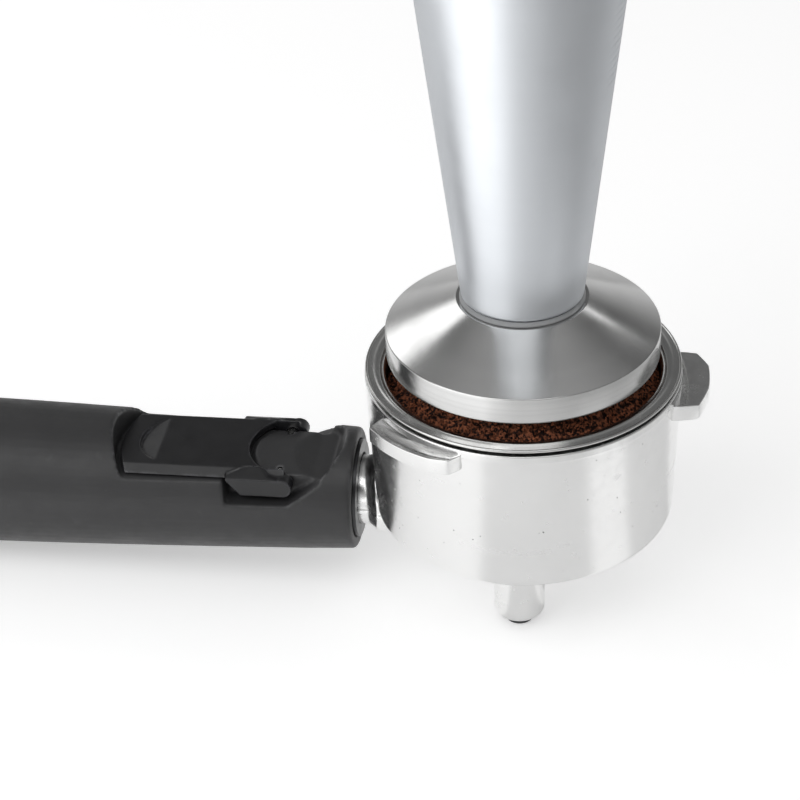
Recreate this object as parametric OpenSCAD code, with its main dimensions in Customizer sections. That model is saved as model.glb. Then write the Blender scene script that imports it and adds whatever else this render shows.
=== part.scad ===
// Coffee filter holder with a twin spout, filter basket, flip-over basket
// retainer and a hand tamper standing on the heaped grounds.
// Origin: axis of the cup on the plane of its rim. +Z is up, the handle runs to -X.

/* [Cup] */
// Outer radius of the cup at its rim
cup_r = 29.7; // [28.5:0.1:36]
// How much narrower the cup is at its foot than at its rim
cup_taper = 1.1; // [0.3:0.1:2.5]
// Height of the cup from rim to underside
cup_h = 30.6; // [28:0.1:40]
// Thickness of the cup wall
cup_wall = 2.6; // [2.2:0.1:2.8]
// Thickness of the cup floor
cup_floor = 3.7; // [3:0.1:5]
// Rounding of the lower outside edge
foot_round = 2.0; // [1:0.1:3]
// Radius of the boss under the cup
hub_r = 9.5; // [8.8:0.1:12]
// Height of the boss under the cup
hub_h = 6.0; // [5:0.1:9]

/* [Locking lugs] */
// Gap from the rim plane down to the top of the lugs
lug_drop = 2.0; // [1:0.1:2.5]
// Thickness of the lugs
lug_t = 3.5; // [2.5:0.1:4]
// How far the lug opposite the handle stands out of the cup
lug_front_out = 5.1; // [3:0.1:7]
// How far the two lugs beside the handle stand out of the cup
lug_side_out = 3.3; // [2.5:0.1:6]
// Angle that the front lug spans
lug_front_deg = 34; // [24:1:40]
// Angle that each side lug spans
lug_side_deg = 40; // [24:1:46]
// Angle from the front lug to each side lug
lug_side_at_deg = 126; // [110:1:135]
// Bevel on the outer edges of the lugs
lug_bevel = 0.7; // [0.3:0.1:1]

/* [Neck and tang] */
// Height of the handle axis above the underside of the cup
neck_up = 0.4; // [0:0.1:4]
// Radius of the neck
neck_r = 7.0; // [6:0.1:8]
// Length of the neck between the cup and the front face of the grip
neck_len = 2.7; // [2:0.1:8]
// Radius of the tang inside the grip
tang_r = 4.2; // [3.8:0.1:4.6]
// Length of the tang inside the grip
tang_len = 28.0; // [22:0.5:36]
// Depth of the threaded hole in the tang
tang_hole = 14.0; // [10:0.5:18]
// Radius of the ferrule round the neck
ferrule_r = 9.6; // [9:0.1:10.5]
// Thickness of the ferrule
ferrule_t = 1.6; // [1:0.1:3]
// How far the ferrule stands out of the grip
ferrule_proud = 0.6; // [0.2:0.1:0.9]

/* [Grip] */
// Length of the grip without its end cap
grip_len = 129.0; // [110:0.5:150]
// Radius of the grip at its front face
grip_front_r = 12.1; // [11.5:0.1:13.5]
// Largest radius of the grip
grip_full_r = 14.8; // [14:0.1:17]
// Length of the rounded rear end of the grip
grip_tail = 14.0; // [8:0.5:20]
// Radius of the rear face of the grip
grip_rear_r = 11.4; // [9.5:0.1:12.5]
// Rounding of the front edge of the grip
grip_nose = 0.9; // [0.4:0.1:1.2]

/* [Handle bolt and cap] */
// Radius of the handle bolt
bolt_r = 2.5; // [2:0.1:3]
// Radius of the bolt head
bolt_head_r = 4.3; // [3.8:0.1:5]
// Height of the bolt head
bolt_head_h = 5.0; // [3:0.1:6]
// Radius of the washer
washer_r = 5.6; // [5:0.1:6.2]
// Thickness of the washer
washer_t = 1.0; // [0.6:0.1:1.6]
// Depth of the bolt head's pocket below the cap's plug
head_pocket = 8.0; // [7.6:0.1:12]
// Radius of the plug of the end cap
plug_r = 7.6; // [7:0.1:8.5]
// Length of the plug of the end cap
plug_len = 5.0; // [3:0.1:8]
// How far the end cap domes out
cap_dome = 3.2; // [2:0.1:5]

/* [Basket retainer] */
// Distance from the front face of the grip to the hinge pin
pivot_back = 14.4; // [13.5:0.1:17]
// Height of the hinge pin above the handle axis
pivot_up = 6.6; // [6.2:0.1:6.8]
// Radius of the hinge pin
pin_r = 1.2; // [0.8:0.1:1.3]
// How far the top of each arm falls away to its outer side
arm_drop = 1.2; // [0.6:0.1:1.5]
// How far the hump on each arm stands above the plate
arm_hump = 0.4; // [0.2:0.1:0.5]
// Thickness of each arm outside the end of the hinge pin
arm_skin = 1.0; // [0.6:0.1:1.4]
// Radius of the plate's hinge eyes round the pin
arm_end_r = 3.0; // [2.4:0.1:3.2]
// Radius of the round nose of each arm
arm_nose_r = 2.0; // [1.6:0.1:2.2]
// Height of the underside of the arms above the handle axis
arm_low = 4.5; // [4.1:0.1:4.6]
// Length of the slope behind the underside of the arms
arm_slope = 2.8; // [2:0.1:4]
// Half the width between the arms
arm_inner = 8.1; // [8:0.1:8.4]
// Thickness of each arm
arm_t = 2.8; // [2.4:0.1:3]
// Distance that the arms run back past the hinge pin
arm_run = 9.9; // [9:0.1:13]
// Reach of the plate behind the hinge pin
plate_reach = 32.3; // [31:0.1:33]
// Thickness of the plate
plate_t = 1.6; // [1.2:0.1:2]
// Half the width of the top of the plate
plate_top_half = 8.2; // [7.5:0.1:9]
// Half the width of the underside of the plate
plate_low_half = 10.1; // [9.4:0.1:10.6]
// Distance from the hinge pin back to the end of the round cut in the plate
plate_cut = 6.8; // [6:0.1:7.5]
// Plan radius of the round cut in the plate
plate_cut_r = 10.2; // [9:0.1:12]
// Plan radius of the free edge of the plate
plate_end_r = 22.0; // [16:0.5:26]
// Depth of the finger scoop in the plate
scoop_depth = 0.9; // [0.4:0.1:1]
// Length of the finger scoop
scoop_run = 4.4; // [3:0.1:6]
// Distance from the free edge of the plate to the finger scoop
scoop_back = 3.6; // [2.5:0.1:6]
// Gap between the free edge of the plate and the end of its recess
recess_gap = 1.2; // [0.6:0.1:2]

/* [Saddle in the grip] */
// Distance from the front face of the grip to the start of the saddle
saddle_front = 2.1; // [1.8:0.1:3]
// Plan radius of the front wall of the saddle
saddle_wall_r = 12.3; // [11:0.1:15]
// Length of the slope of the front wall of the saddle
saddle_slope = 2.2; // [1.5:0.1:3]
// Height of the low part of the saddle above the handle axis
saddle_low = 7.3; // [7:0.1:7.8]
// Height of the crest of the saddle above the handle axis
saddle_crest = 8.6; // [8.2:0.1:8.8]
// Distance from the front face of the grip to the crest
crest_back = 12.1; // [11:0.1:13]
// Half the width of the web between the arms
web_half = 7.6; // [7:0.1:7.8]
// Radius of the crown of the web
web_crown_r = 30.0; // [25:0.5:60]
// Height of the floor of the side pockets above the handle axis
pocket_floor = 3.3; // [2.6:0.1:3.6]
// Length of the ramp at the front of the side pockets
pocket_ramp = 6.1; // [4:0.1:7]

/* [Filter basket] */
// Clearance between the basket and the wall of the cup
basket_room = 0.45; // [0.3:0.05:0.6]
// Thickness of the steel sheet
sheet = 0.4; // [0.3:0.05:0.6]
// Clear height between the basket and the screw in the cup floor
basket_lift = 2.0; // [0.5:0.1:6]
// How far the flange stays inside the edge of the cup's rim
flange_inset = 0.1; // [0:0.1:0.6]
// Height of the rolled crest of the flange above the rim plane
flange_crest = 1.4; // [1:0.1:2]
// Half the width of the rolled crest of the flange
crest_half = 1.2; // [1:0.1:1.6]
// Radius of each hole in the basket floor
hole_r = 0.45; // [0.3:0.05:0.6]
// Rings of holes in the basket floor
hole_rings = 4; // [2:1:5]
// Height of the outer shell of the basket
shell_h = 11.0; // [6:0.5:14]
// Radius of the wire of the basket spring
wire_r = 0.6; // [0.4:0.05:0.7]
// Depth of the spring's middle below the rim plane
wire_drop = 6.2; // [5:0.1:8]
// Opening of the spring
wire_gap_deg = 38; // [20:1:60]

/* [Spout] */
// Distance from the cup axis to each outlet
outlet_off = 11.0; // [10:0.1:13]
// Outer radius of each outlet
outlet_r = 4.9; // [4.6:0.1:5.4]
// Height of the spout block under its collar
spout_h = 10.4; // [9:0.1:14]
// Height of the cross bar of the spout
bar_h = 6.0; // [5.4:0.1:7]
// Radius of the collar of the spout
collar_r = 8.4; // [7.8:0.1:8.8]
// Height of the collar of the spout
collar_h = 1.6; // [1:0.1:3]
// Rounding of the lower edge of the outlets
outlet_round = 1.2; // [0.6:0.1:1.5]
// Thickness of the sealing ring
gasket_t = 0.8; // [0.5:0.1:1.5]
// Outer radius of each liner
liner_r = 2.7; // [2.4:0.1:3]
// Bore radius of each liner
liner_bore_r = 1.9; // [1.5:0.1:2]
// How far each liner stands out of the outlet
liner_proud = 1.8; // [1:0.1:2.5]
// Radius of the hollow screw
screw_r = 4.0; // [3.6:0.1:4.2]
// Radius of the head of the hollow screw
screw_head_r = 6.2; // [5.6:0.1:7]
// Height of the head of the hollow screw
screw_head_h = 1.8; // [1.4:0.1:2.2]
// Bore radius of the hollow screw
screw_bore_r = 2.1; // [1.6:0.1:2.2]

/* [Coffee] */
// Depth of the edge of the grounds below the rim plane
grounds_drop = 3.0; // [2:0.1:5]
// Distance from the edge of the tamper in to the flat top of the heap
heap_run = 8.5; // [6:0.5:11]

/* [Tamper] */
// Height of the tamper's face above the rim plane
tamper_rise = 4.0; // [3.5:0.1:7]
// Clearance between the tamper and the basket
tamper_room = 0.3; // [0.2:0.05:0.6]
// Height of the straight band of the base
tamper_band = 5.3; // [4:0.1:7]
// Height of the cone of the base
tamper_cone = 6.2; // [6:0.1:9]
// Radius of the cone where it meets the handle
tamper_cone_r = 12.2; // [11.8:0.1:14]
// Radius of the washer under the handle
foot_ring_r = 11.6; // [11.4:0.1:11.8]
// Thickness of the washer under the handle
foot_ring_t = 0.8; // [0.5:0.1:1.2]
// Radius of the foot of the tamper handle
knob_foot_r = 11.3; // [11:0.1:12]
// Length of the tamper handle
knob_len = 87.0; // [84:0.5:95]
// Radius of the tamper handle at the end of its straight flare
knob_mid_r = 17.9; // [16:0.1:20]
// Height of the end of the straight flare above the foot
knob_mid_at = 57.0; // [50:0.5:62]
// Height of the widest place above the foot of the handle
knob_full_at = 76.0; // [70:0.5:80]
// Height above the foot at which the turned grooves start
groove_from = 44.0; // [40:0.5:50]
// Spacing of the turned grooves
groove_pitch = 1.5; // [1.2:0.1:2]
// Depth of the turned grooves
groove_depth = 0.1; // [0.05:0.01:0.3]
// Number of turned grooves
groove_count = 18; // [6:1:18]
// Radius of the stud that joins base and handle
stud_r = 4.0; // [3:0.1:5]
// Length of the stud inside the handle
stud_up = 20.0; // [14:0.5:26]
// Length of the stud inside the base
stud_down = 9.0; // [7:0.1:10]

/* [Fits] */
// Radial clearance of a running or screwed fit
fit = 0.05; // [0.02:0.01:0.1]
// Clearance between soft or loose pieces
gap = 0.3; // [0.2:0.05:0.5]

/* [Hidden] */
// Places over the width of one groove, each with its share of the groove's depth
groove_shares = [[0.25, 0], [0.5, 1], [0.75, 0]];
// Share of the heap's curve that its edge leaves out
heap_edge_share = 0.15;

// Overrun of a cut past the face that it opens
over = 0.5;
round_n = 128;
small_n = 48;

neck_drop = cup_h - neck_up;
neck_reach = cup_r + neck_len;
cup_foot_r = cup_r - cup_taper;
lug_front_r = cup_r + lug_front_out;
lug_side_r = cup_r + lug_side_out;
cavity_r = cup_r - cup_wall;
basket_r = cavity_r - basket_room - 2 * sheet - fit;
flange_r = cup_r - flange_inset;
flange_crest_r = basket_r + sheet + crest_half;
tamper_r = basket_r - tamper_room;
heap_top_r = tamper_r - heap_run;
cavity_z = cup_floor - cup_h;
basket_depth = -cavity_z - screw_head_h - basket_lift - 4 * sheet;
hub_z = -cup_h - hub_h;
spout_z = hub_z - gasket_t;
bar_z = spout_z - collar_h;
outlet_z = bar_z - spout_h;
hinge_x = neck_reach + pivot_back;
arm_outer = arm_inner + arm_t;
pin_half = arm_outer - arm_skin;
plate_top = pivot_up + arm_end_r - plate_t / 16;
plate_low = plate_top - plate_t;
plate_front = hinge_x - arm_end_r / 2;
plate_cut_x = hinge_x + plate_cut - plate_cut_r;
grip_end = neck_reach + grip_len;
tamper_top = tamper_rise + tamper_band + tamper_cone;
knob_z = tamper_top + foot_ring_t;
knob_slope = (knob_mid_r - knob_foot_r) / knob_mid_at;

// Shapes drawn with their axis on +Z are laid along the handle: the height
// above the handle axis is their x, and the distance from the cup axis is z
module along_handle() {
    translate([0, 0, -neck_drop])
        rotate([0, -90, 0])
            children();
}

// A side view, given as [distance from the cup axis, height above the handle
// axis], cut out between two places across the handle
module side_slab(points, from_y, to_y) {
    translate([0, to_y, -neck_drop])
        rotate([90, 0, 0])
            linear_extrude(height = to_y - from_y)
                polygon([for (p = points) [-p[0], p[1]]]);
}

// A plain ring between two heights
module ring(outer, inner, low, high) {
    difference() {
        translate([0, 0, low])
            cylinder(r = outer, h = high - low, $fn = small_n);
        translate([0, 0, low - over])
            cylinder(r = inner, h = high - low + 2 * over, $fn = small_n);
    }
}

module cup_outside() {
    arc = [for (a = [0 : 15 : 90])
        [cup_foot_r - foot_round + foot_round * cos(a), -cup_h + foot_round - foot_round * sin(a)]];
    rotate_extrude($fn = round_n)
        polygon(concat([[0, 0], [cup_r, 0], [cup_r, -lug_drop]], arc, [[0, -cup_h]]));
}

// One locking lug, centred on an angle about the cup axis
module lug(at, span, outer) {
    root = cup_r - cup_wall / 2;
    low = -lug_drop - lug_t;
    rotate([0, 0, at - span / 2])
        rotate_extrude(angle = span, $fn = round_n)
            polygon([[root, -lug_drop], [outer - lug_bevel, -lug_drop], [outer, -lug_drop - lug_bevel],
                [outer, low + lug_bevel], [outer - lug_bevel, low], [root, low]]);
}

module holder_body() {
    groove = wire_r + gap;
    color("gainsboro")
    difference() {
        union() {
            cup_outside();
            lug(0, lug_front_deg, lug_front_r);
            lug(lug_side_at_deg, lug_side_deg, lug_side_r);
            lug(-lug_side_at_deg, lug_side_deg, lug_side_r);
            translate([0, 0, hub_z])
                cylinder(r = hub_r, h = hub_h + cup_floor / 2, $fn = round_n);
            along_handle()
                cylinder(r = neck_r, h = neck_reach, $fn = round_n);
            along_handle()
                cylinder(r = tang_r, h = neck_reach + tang_len, $fn = small_n);
        }
        translate([0, 0, cavity_z])
            cylinder(r = cavity_r, h = cup_h, $fn = round_n);
        translate([0, 0, hub_z - neck_r])
            cylinder(r = screw_r + fit, h = cup_h, $fn = small_n);
        translate([0, 0, hub_z - neck_r])
            cylinder(r = hub_r + over, h = neck_r, $fn = round_n);
        translate([0, 0, -wire_drop])
            rotate_extrude($fn = round_n)
                translate([cavity_r, 0])
                    circle(r = groove, $fn = small_n);
        along_handle()
            translate([0, 0, neck_reach + tang_len - tang_hole])
                cylinder(r = bolt_r + fit, h = tang_hole + over, $fn = small_n);
    }
}

// The twin spout: a collar, a cross bar and two outlets with bores for liners
module spout_block() {
    color("silver")
    difference() {
        union() {
            translate([0, 0, bar_z])
                cylinder(r = collar_r, h = collar_h, $fn = round_n);
            translate([0, 0, bar_z - bar_h])
                linear_extrude(height = bar_h) {
                    square([2 * outlet_r, 2 * outlet_off], center = true);
                    for (s = [-1, 1])
                        translate([0, s * outlet_off])
                            circle(r = outlet_r, $fn = small_n);
                }
            for (s = [-1, 1])
                translate([0, s * outlet_off, 0])
                    outlet_tube();
        }
        translate([0, 0, bar_z - bar_h / 2])
            cylinder(r = screw_r + fit, h = spout_h, $fn = small_n);
        translate([0, outlet_off, bar_z - bar_h / 2])
            rotate([90, 0, 0])
                cylinder(r = liner_bore_r, h = 2 * outlet_off, $fn = small_n);
        for (s = [-1, 1])
            translate([0, s * outlet_off, outlet_z - over])
                cylinder(r = liner_r + fit, h = spout_h - bar_h / 2 + over, $fn = small_n);
    }
}

module outlet_tube() {
    arc = [for (a = [0 : 15 : 90])
        [outlet_r - outlet_round + outlet_round * cos(a), outlet_z + outlet_round - outlet_round * sin(a)]];
    rotate_extrude($fn = small_n)
        polygon(concat([[0, bar_z - bar_h / 2], [outlet_r, bar_z - bar_h / 2]], arc, [[0, outlet_z]]));
}

module spout_screw() {
    tip = bar_z - bar_h / 2 + fit;
    color("silver")
    difference() {
        union() {
            translate([0, 0, cavity_z])
                cylinder(r = screw_head_r, h = screw_head_h, $fn = small_n);
            translate([0, 0, tip])
                cylinder(r = screw_r, h = cavity_z - tip + over, $fn = small_n);
        }
        translate([0, 0, tip - over])
            cylinder(r = screw_bore_r, h = cavity_z - tip + screw_head_h + 2 * over, $fn = small_n);
        translate([0, 0, cavity_z])
            cylinder(r = screw_r - fit, h = screw_head_h + over, $fn = 6);
    }
}

module spout_gasket() {
    color("dimgray")
        ring(collar_r, screw_r + gap, spout_z, hub_z);
}

module outlet_liner(side) {
    color([0.1, 0.1, 0.1])
        translate([0, side * outlet_off, 0])
            ring(liner_r, liner_bore_r, outlet_z - liner_proud, bar_z - bar_h / 2 - liner_bore_r);
}

module outlet_liner_left() { outlet_liner(1); }
module outlet_liner_right() { outlet_liner(-1); }

// The open wire ring that holds the basket in the cup
module basket_spring() {
    color("silver")
    translate([0, 0, -wire_drop])
        rotate([0, 0, wire_gap_deg / 2])
            rotate_extrude(angle = 360 - wire_gap_deg, $fn = round_n)
                translate([cavity_r, 0])
                    circle(r = wire_r, $fn = small_n);
}

// The perforated basket with its rolled flange
module filter_basket() {
    out = basket_r + sheet;
    floor_z = -basket_depth;
    roll = flange_crest - sheet;
    crest = [for (a = [0 : 30 : 90])
        [out + (flange_crest_r - out) * (1 - cos(a)), sheet + roll * sin(a)]];
    under = [for (a = [90 : -30 : 0])
        [out + (flange_crest_r - out) * (1 - cos(a)) + sheet / 8, roll * sin(a)]];
    step_r = flange_crest_r + roll;
    color("silver")
    difference() {
        rotate_extrude($fn = round_n)
            polygon(concat([[0, floor_z], [basket_r, floor_z], [basket_r, 0], [basket_r, sheet]], crest,
                [[step_r, sheet + sheet / 2], [flange_r - sheet, sheet + sheet / 2],
                    [flange_r - sheet, 2 * sheet], [flange_r, 2 * sheet], [flange_r, 0], [out, 0],
                    [out, floor_z - sheet], [0, floor_z - sheet]]));
        translate([0, 0, floor_z - 2 * sheet])
            cylinder(r = hole_r, h = 4 * sheet, $fn = small_n);
        for (k = [1 : hole_rings])
            for (n = [0 : 6 * k - 1])
                rotate([0, 0, n * 60 / k])
                    translate([k * basket_r / (hole_rings + 1), 0, floor_z - 2 * sheet])
                        cylinder(r = hole_r, h = 4 * sheet, $fn = small_n);
    }
}

// The outer shell that closes the basket but for one small jet
module basket_outer_shell() {
    in = basket_r + sheet + fit;
    out = in + sheet;
    low = -basket_depth - 4 * sheet;
    color("silver")
        rotate_extrude($fn = round_n)
            polygon([[hole_r, low], [out, low], [out, low + shell_h], [in, low + shell_h],
                [in, low + sheet], [hole_r, low + sheet]]);
}

// The grounds that fill the basket
module coffee_bed() {
    color("saddlebrown")
        translate([0, 0, gap - basket_depth])
            cylinder(r = basket_r - gap, h = basket_depth - gap - grounds_drop, $fn = round_n);
}

// Share of the heap's height at a share of the way up its slope
function heap_rise(s) = (1 - cos(180 * (heap_edge_share + (1 - heap_edge_share) * s))) / 2;

// The heaped top of the grounds, flat where the tamper stands on it
module coffee_heap() {
    edge = basket_r - gap;
    rise = tamper_rise + grounds_drop;
    color("saddlebrown")
        translate([0, 0, -grounds_drop])
            rotate_extrude($fn = round_n)
                polygon(concat([[0, 0], [edge, 0]],
                    [for (s = [0 : 0.2 : 1])
                        [edge + (heap_top_r - edge) * s, rise * heap_rise(s)]],
                    [[0, rise]]));
}

module neck_ferrule() {
    front = neck_reach - ferrule_proud;
    color("silver")
        along_handle()
            ring(ferrule_r, neck_r + fit, front, front + ferrule_t);
}

// Radius of the grip at a share of its length before the rounded tail
function grip_radius(share) = grip_front_r + (grip_full_r - grip_front_r) * sin(90 * share);

module grip_outside() {
    body = grip_len - grip_tail;
    nose = [for (a = [0 : 30 : 60])
        [grip_front_r - grip_nose * (1 - sin(a)), neck_reach + grip_nose * (1 - cos(a))]];
    side = [for (i = [1 : 12]) [grip_radius(i / 12), neck_reach + body * i / 12]];
    tail = [for (a = [15 : 15 : 90])
        [grip_rear_r + (grip_full_r - grip_rear_r) * cos(a), grip_end - grip_tail + grip_tail * sin(a)]];
    rotate_extrude($fn = round_n)
        polygon(concat([[0, neck_reach]], nose, side, tail, [[0, grip_end]]));
}

module handle_grip() {
    high = 2 * grip_full_r;
    wide = grip_full_r + over;
    crest_x = neck_reach + crest_back;
    saddle_x = neck_reach + saddle_front;
    recess_x = hinge_x + plate_reach + recess_gap;
    floor_h = plate_low - gap;
    low_x = saddle_x + saddle_slope;
    pocket_x = crest_x + gap;
    pocket_end = hinge_x + arm_run + 2 * gap;
    color([0.16, 0.16, 0.16])
    difference() {
        along_handle()
            grip_outside();
        intersection() {
            side_slab([[saddle_x, high], [saddle_x, grip_front_r - gap], [low_x, saddle_low],
                [crest_x - (crest_x - low_x) / 2, saddle_low], [crest_x - (crest_x - low_x) / 4,
                (saddle_low + saddle_crest) / 2], [crest_x, saddle_crest],
                [hinge_x + plate_cut, saddle_crest], [hinge_x + plate_cut, high]], -wide, wide);
            union() {
                translate([-(saddle_x + saddle_wall_r), 0, -neck_drop])
                    cylinder(r = saddle_wall_r, h = high, $fn = round_n);
                translate([-recess_x, -wide, -neck_drop])
                    cube([recess_x - saddle_x - saddle_wall_r, 2 * wide, high]);
            }
        }
        difference() {
            intersection() {
                translate([-(recess_x - plate_end_r), 0, floor_h - neck_drop])
                    cylinder(r = plate_end_r, h = high, $fn = round_n);
                side_slab([[plate_cut_x, floor_h], [plate_cut_x, high], [recess_x, high],
                    [recess_x, floor_h]], -wide, wide);
            }
            translate([-plate_cut_x, 0, -neck_drop])
                cylinder(r = plate_cut_r - 3 * gap, h = high, $fn = round_n);
        }
        difference() {
            side_slab([[low_x + saddle_slope, saddle_low], [low_x + saddle_slope, high],
                [hinge_x + plate_cut, high], [hinge_x + plate_cut, pocket_floor], [crest_x, pocket_floor]],
                -web_half - over, web_half + over);
            along_handle()
                translate([saddle_crest - web_crown_r, 0, 0])
                    cylinder(r = web_crown_r, h = grip_end, $fn = round_n);
        }
        for (s = [-1, 1])
            side_slab([[pocket_x, pocket_floor], [pocket_x - pocket_ramp, saddle_low],
                [pocket_x - pocket_ramp, high], [pocket_end, high], [pocket_end, floor_h - over],
                [pocket_end - over, pocket_floor]],
                s > 0 ? web_half : -wide, s > 0 ? wide : -web_half);
        translate([-hinge_x, 0, pivot_up - neck_drop])
            rotate([90, 0, 0])
                cylinder(r = pin_r + fit / 2, h = 2 * wide, center = true, $fn = small_n);
        along_handle() {
            translate([0, 0, neck_reach - over])
                cylinder(r = tang_r + fit, h = tang_len + gap + over, $fn = small_n);
            translate([0, 0, neck_reach - over])
                cylinder(r = ferrule_r + fit, h = ferrule_t - ferrule_proud + over, $fn = small_n);
            translate([0, 0, neck_reach])
                cylinder(r = bolt_r + fit, h = grip_len, $fn = small_n);
            translate([0, 0, grip_end - plug_len - head_pocket])
                cylinder(r = washer_r + fit, h = grip_len, $fn = small_n);
            translate([0, 0, grip_end - plug_len - gap])
                cylinder(r = plug_r + fit, h = grip_len, $fn = small_n);
        }
    }
}

module handle_bolt() {
    seat = grip_end - plug_len - head_pocket + washer_t;
    tip = neck_reach + tang_len - tang_hole + gap;
    color("silver")
        along_handle()
            difference() {
                union() {
                    translate([0, 0, tip])
                        cylinder(r = bolt_r, h = seat - tip + over, $fn = small_n);
                    translate([0, 0, seat])
                        cylinder(r = bolt_head_r, h = bolt_head_h, $fn = small_n);
                }
                translate([0, 0, seat + bolt_head_h / 2])
                    cylinder(r = bolt_r, h = bolt_head_h, $fn = 6);
            }
}

module bolt_washer() {
    seat = grip_end - plug_len - head_pocket;
    color("silver")
        along_handle()
            ring(washer_r, bolt_r + fit, seat, seat + washer_t);
}

module handle_end_cap() {
    color([0.13, 0.13, 0.13])
        along_handle() {
            rotate_extrude($fn = round_n)
                polygon(concat([[0, grip_end]],
                    [for (a = [0 : 15 : 90]) [grip_rear_r * cos(a), grip_end + cap_dome * sin(a)]]));
            translate([0, 0, grip_end - plug_len])
                cylinder(r = plug_r, h = plug_len + cap_dome / 2, $fn = small_n);
        }
}

// Plan of the plate: a straight strip with a round cut in front and a curved free edge
module plate_plan() {
    tip = hinge_x + plate_reach;
    difference() {
        intersection() {
            translate([-tip, -plate_low_half])
                square([tip - plate_front, 2 * plate_low_half]);
            translate([plate_end_r - tip, 0])
                circle(r = plate_end_r, $fn = round_n);
        }
        intersection() {
            translate([-plate_cut_x, 0])
                circle(r = plate_cut_r, $fn = round_n);
            translate([-plate_cut_x, 0])
                square([3 * plate_cut_r, 2 * arm_inner], center = true);
        }
    }
}

module basket_retainer() {
    heel = hinge_x + arm_run;
    tip = hinge_x + plate_reach;
    nose_x = hinge_x - arm_end_r + arm_nose_r;
    scoop_x = tip - scoop_back - scoop_run;
    color([0.12, 0.12, 0.12])
    difference() {
        union() {
            intersection() {
                translate([0, 0, plate_low - neck_drop])
                    linear_extrude(height = plate_t)
                        plate_plan();
                along_handle()
                    linear_extrude(height = grip_end)
                        polygon([[plate_low, -plate_low_half], [plate_top, -plate_top_half],
                            [plate_top, plate_top_half], [plate_low, plate_low_half]]);
            }
            for (s = [-1, 1]) {
                translate([-nose_x, s * (arm_inner + arm_t / 2), arm_low + arm_nose_r - neck_drop])
                    rotate([90, 0, 0])
                        cylinder(r = arm_nose_r, h = arm_t, center = true, $fn = small_n);
                intersection() {
                    side_slab([[nose_x, arm_low], [heel - arm_slope, arm_low], [heel, plate_low],
                        [heel, plate_low + plate_t / 2], [heel - arm_slope, plate_top],
                        [hinge_x + arm_end_r + plate_t, plate_top + arm_hump],
                        [hinge_x + arm_end_r, plate_top + arm_hump / 2],
                        [hinge_x + plate_t, plate_top - plate_t / 2],
                        [hinge_x - arm_end_r / 4, plate_top - arm_drop],
                        [nose_x - arm_nose_r, arm_low + arm_nose_r]],
                        s > 0 ? arm_inner : -arm_outer, s > 0 ? arm_outer : -arm_inner);
                    along_handle()
                        linear_extrude(height = grip_end)
                            polygon([[arm_low, -arm_outer], [plate_top - arm_drop, -arm_outer],
                                [plate_top + arm_hump, -plate_top_half],
                                [plate_top + arm_hump, plate_top_half],
                                [plate_top - arm_drop, arm_outer], [arm_low, arm_outer]]);
                }
            }
        }
        translate([-hinge_x, 0, pivot_up - neck_drop])
            rotate([90, 0, 0])
                cylinder(r = pin_r + fit, h = 2 * pin_half, center = true, $fn = small_n);
        translate([-scoop_x, 0, plate_top - neck_drop])
            rotate([0, -atan(scoop_depth / scoop_run), 0])
                translate([plate_top_half - scoop_run, 0, 0])
                    cylinder(r = plate_top_half, h = 3 * plate_t, $fn = round_n);
    }
}

module retainer_pin() {
    color("silver")
        translate([-hinge_x, 0, pivot_up - neck_drop])
            rotate([90, 0, 0])
                cylinder(r = pin_r, h = 2 * (pin_half - gap), center = true, $fn = small_n);
}

// The tamper base: a flat face, a straight band and a cone up to the handle
module tamper_base() {
    edge = sheet / 2;
    color("lightgray")
    difference() {
        translate([0, 0, tamper_rise])
            rotate_extrude($fn = round_n)
                polygon([[0, 0], [tamper_r - edge, 0], [tamper_r, edge], [tamper_r, tamper_band - edge],
                    [tamper_r - edge, tamper_band], [tamper_cone_r, tamper_band + tamper_cone],
                    [0, tamper_band + tamper_cone]]);
        translate([0, 0, tamper_top - stud_down - gap])
            cylinder(r = stud_r + fit / 2, h = stud_down + gap + over, $fn = small_n);
    }
}

module tamper_foot_ring() {
    color("whitesmoke")
        ring(foot_ring_r, stud_r + gap, tamper_top, knob_z);
}

// Radius of the tamper handle at a height above its foot: a straight flare
// that eases off between its end and the widest place
function knob_radius(at) = at < knob_mid_at ? knob_foot_r + knob_slope * at
    : knob_mid_r + knob_slope * (at - knob_mid_at)
        - knob_slope * pow(at - knob_mid_at, 2) / (2 * (knob_full_at - knob_mid_at));

module tamper_handle() {
    top_rise = knob_len - knob_full_at;
    knob_full_r = knob_radius(knob_full_at);
    band_end = groove_from + groove_count * groove_pitch;
    grooves = [for (k = [0 : groove_count - 1])
        for (p = groove_shares)
            [knob_radius(groove_from + (k + p[0]) * groove_pitch) - p[1] * groove_depth,
                groove_from + (k + p[0]) * groove_pitch]];
    dome = [for (a = [0 : 10 : 90])
        [knob_full_r * cos(a), knob_full_at + top_rise * sin(a)]];
    color("slategray")
    difference() {
        translate([0, 0, knob_z])
            rotate_extrude($fn = round_n)
                polygon(concat([[0, 0], [knob_foot_r, 0]], grooves,
                    [[knob_radius(band_end), band_end]], dome));
        translate([0, 0, knob_z - over])
            cylinder(r = stud_r + fit / 2, h = stud_up + gap + over, $fn = small_n);
    }
}

module tamper_stud() {
    color("silver")
        translate([0, 0, tamper_top - stud_down])
            cylinder(r = stud_r, h = stud_down + foot_ring_t + stud_up, $fn = small_n);
}

holder_body();
spout_block();
spout_screw();
spout_gasket();
outlet_liner_left();
outlet_liner_right();
basket_spring();
filter_basket();
basket_outer_shell();
coffee_bed();
coffee_heap();
neck_ferrule();
handle_grip();
handle_bolt();
bolt_washer();
handle_end_cap();
basket_retainer();
retainer_pin();
tamper_base();
tamper_foot_ring();
tamper_handle();
tamper_stud();
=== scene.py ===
import random
from math import atan2, ceil, cos, exp, hypot, pi, radians, sin, sqrt, tan

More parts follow.
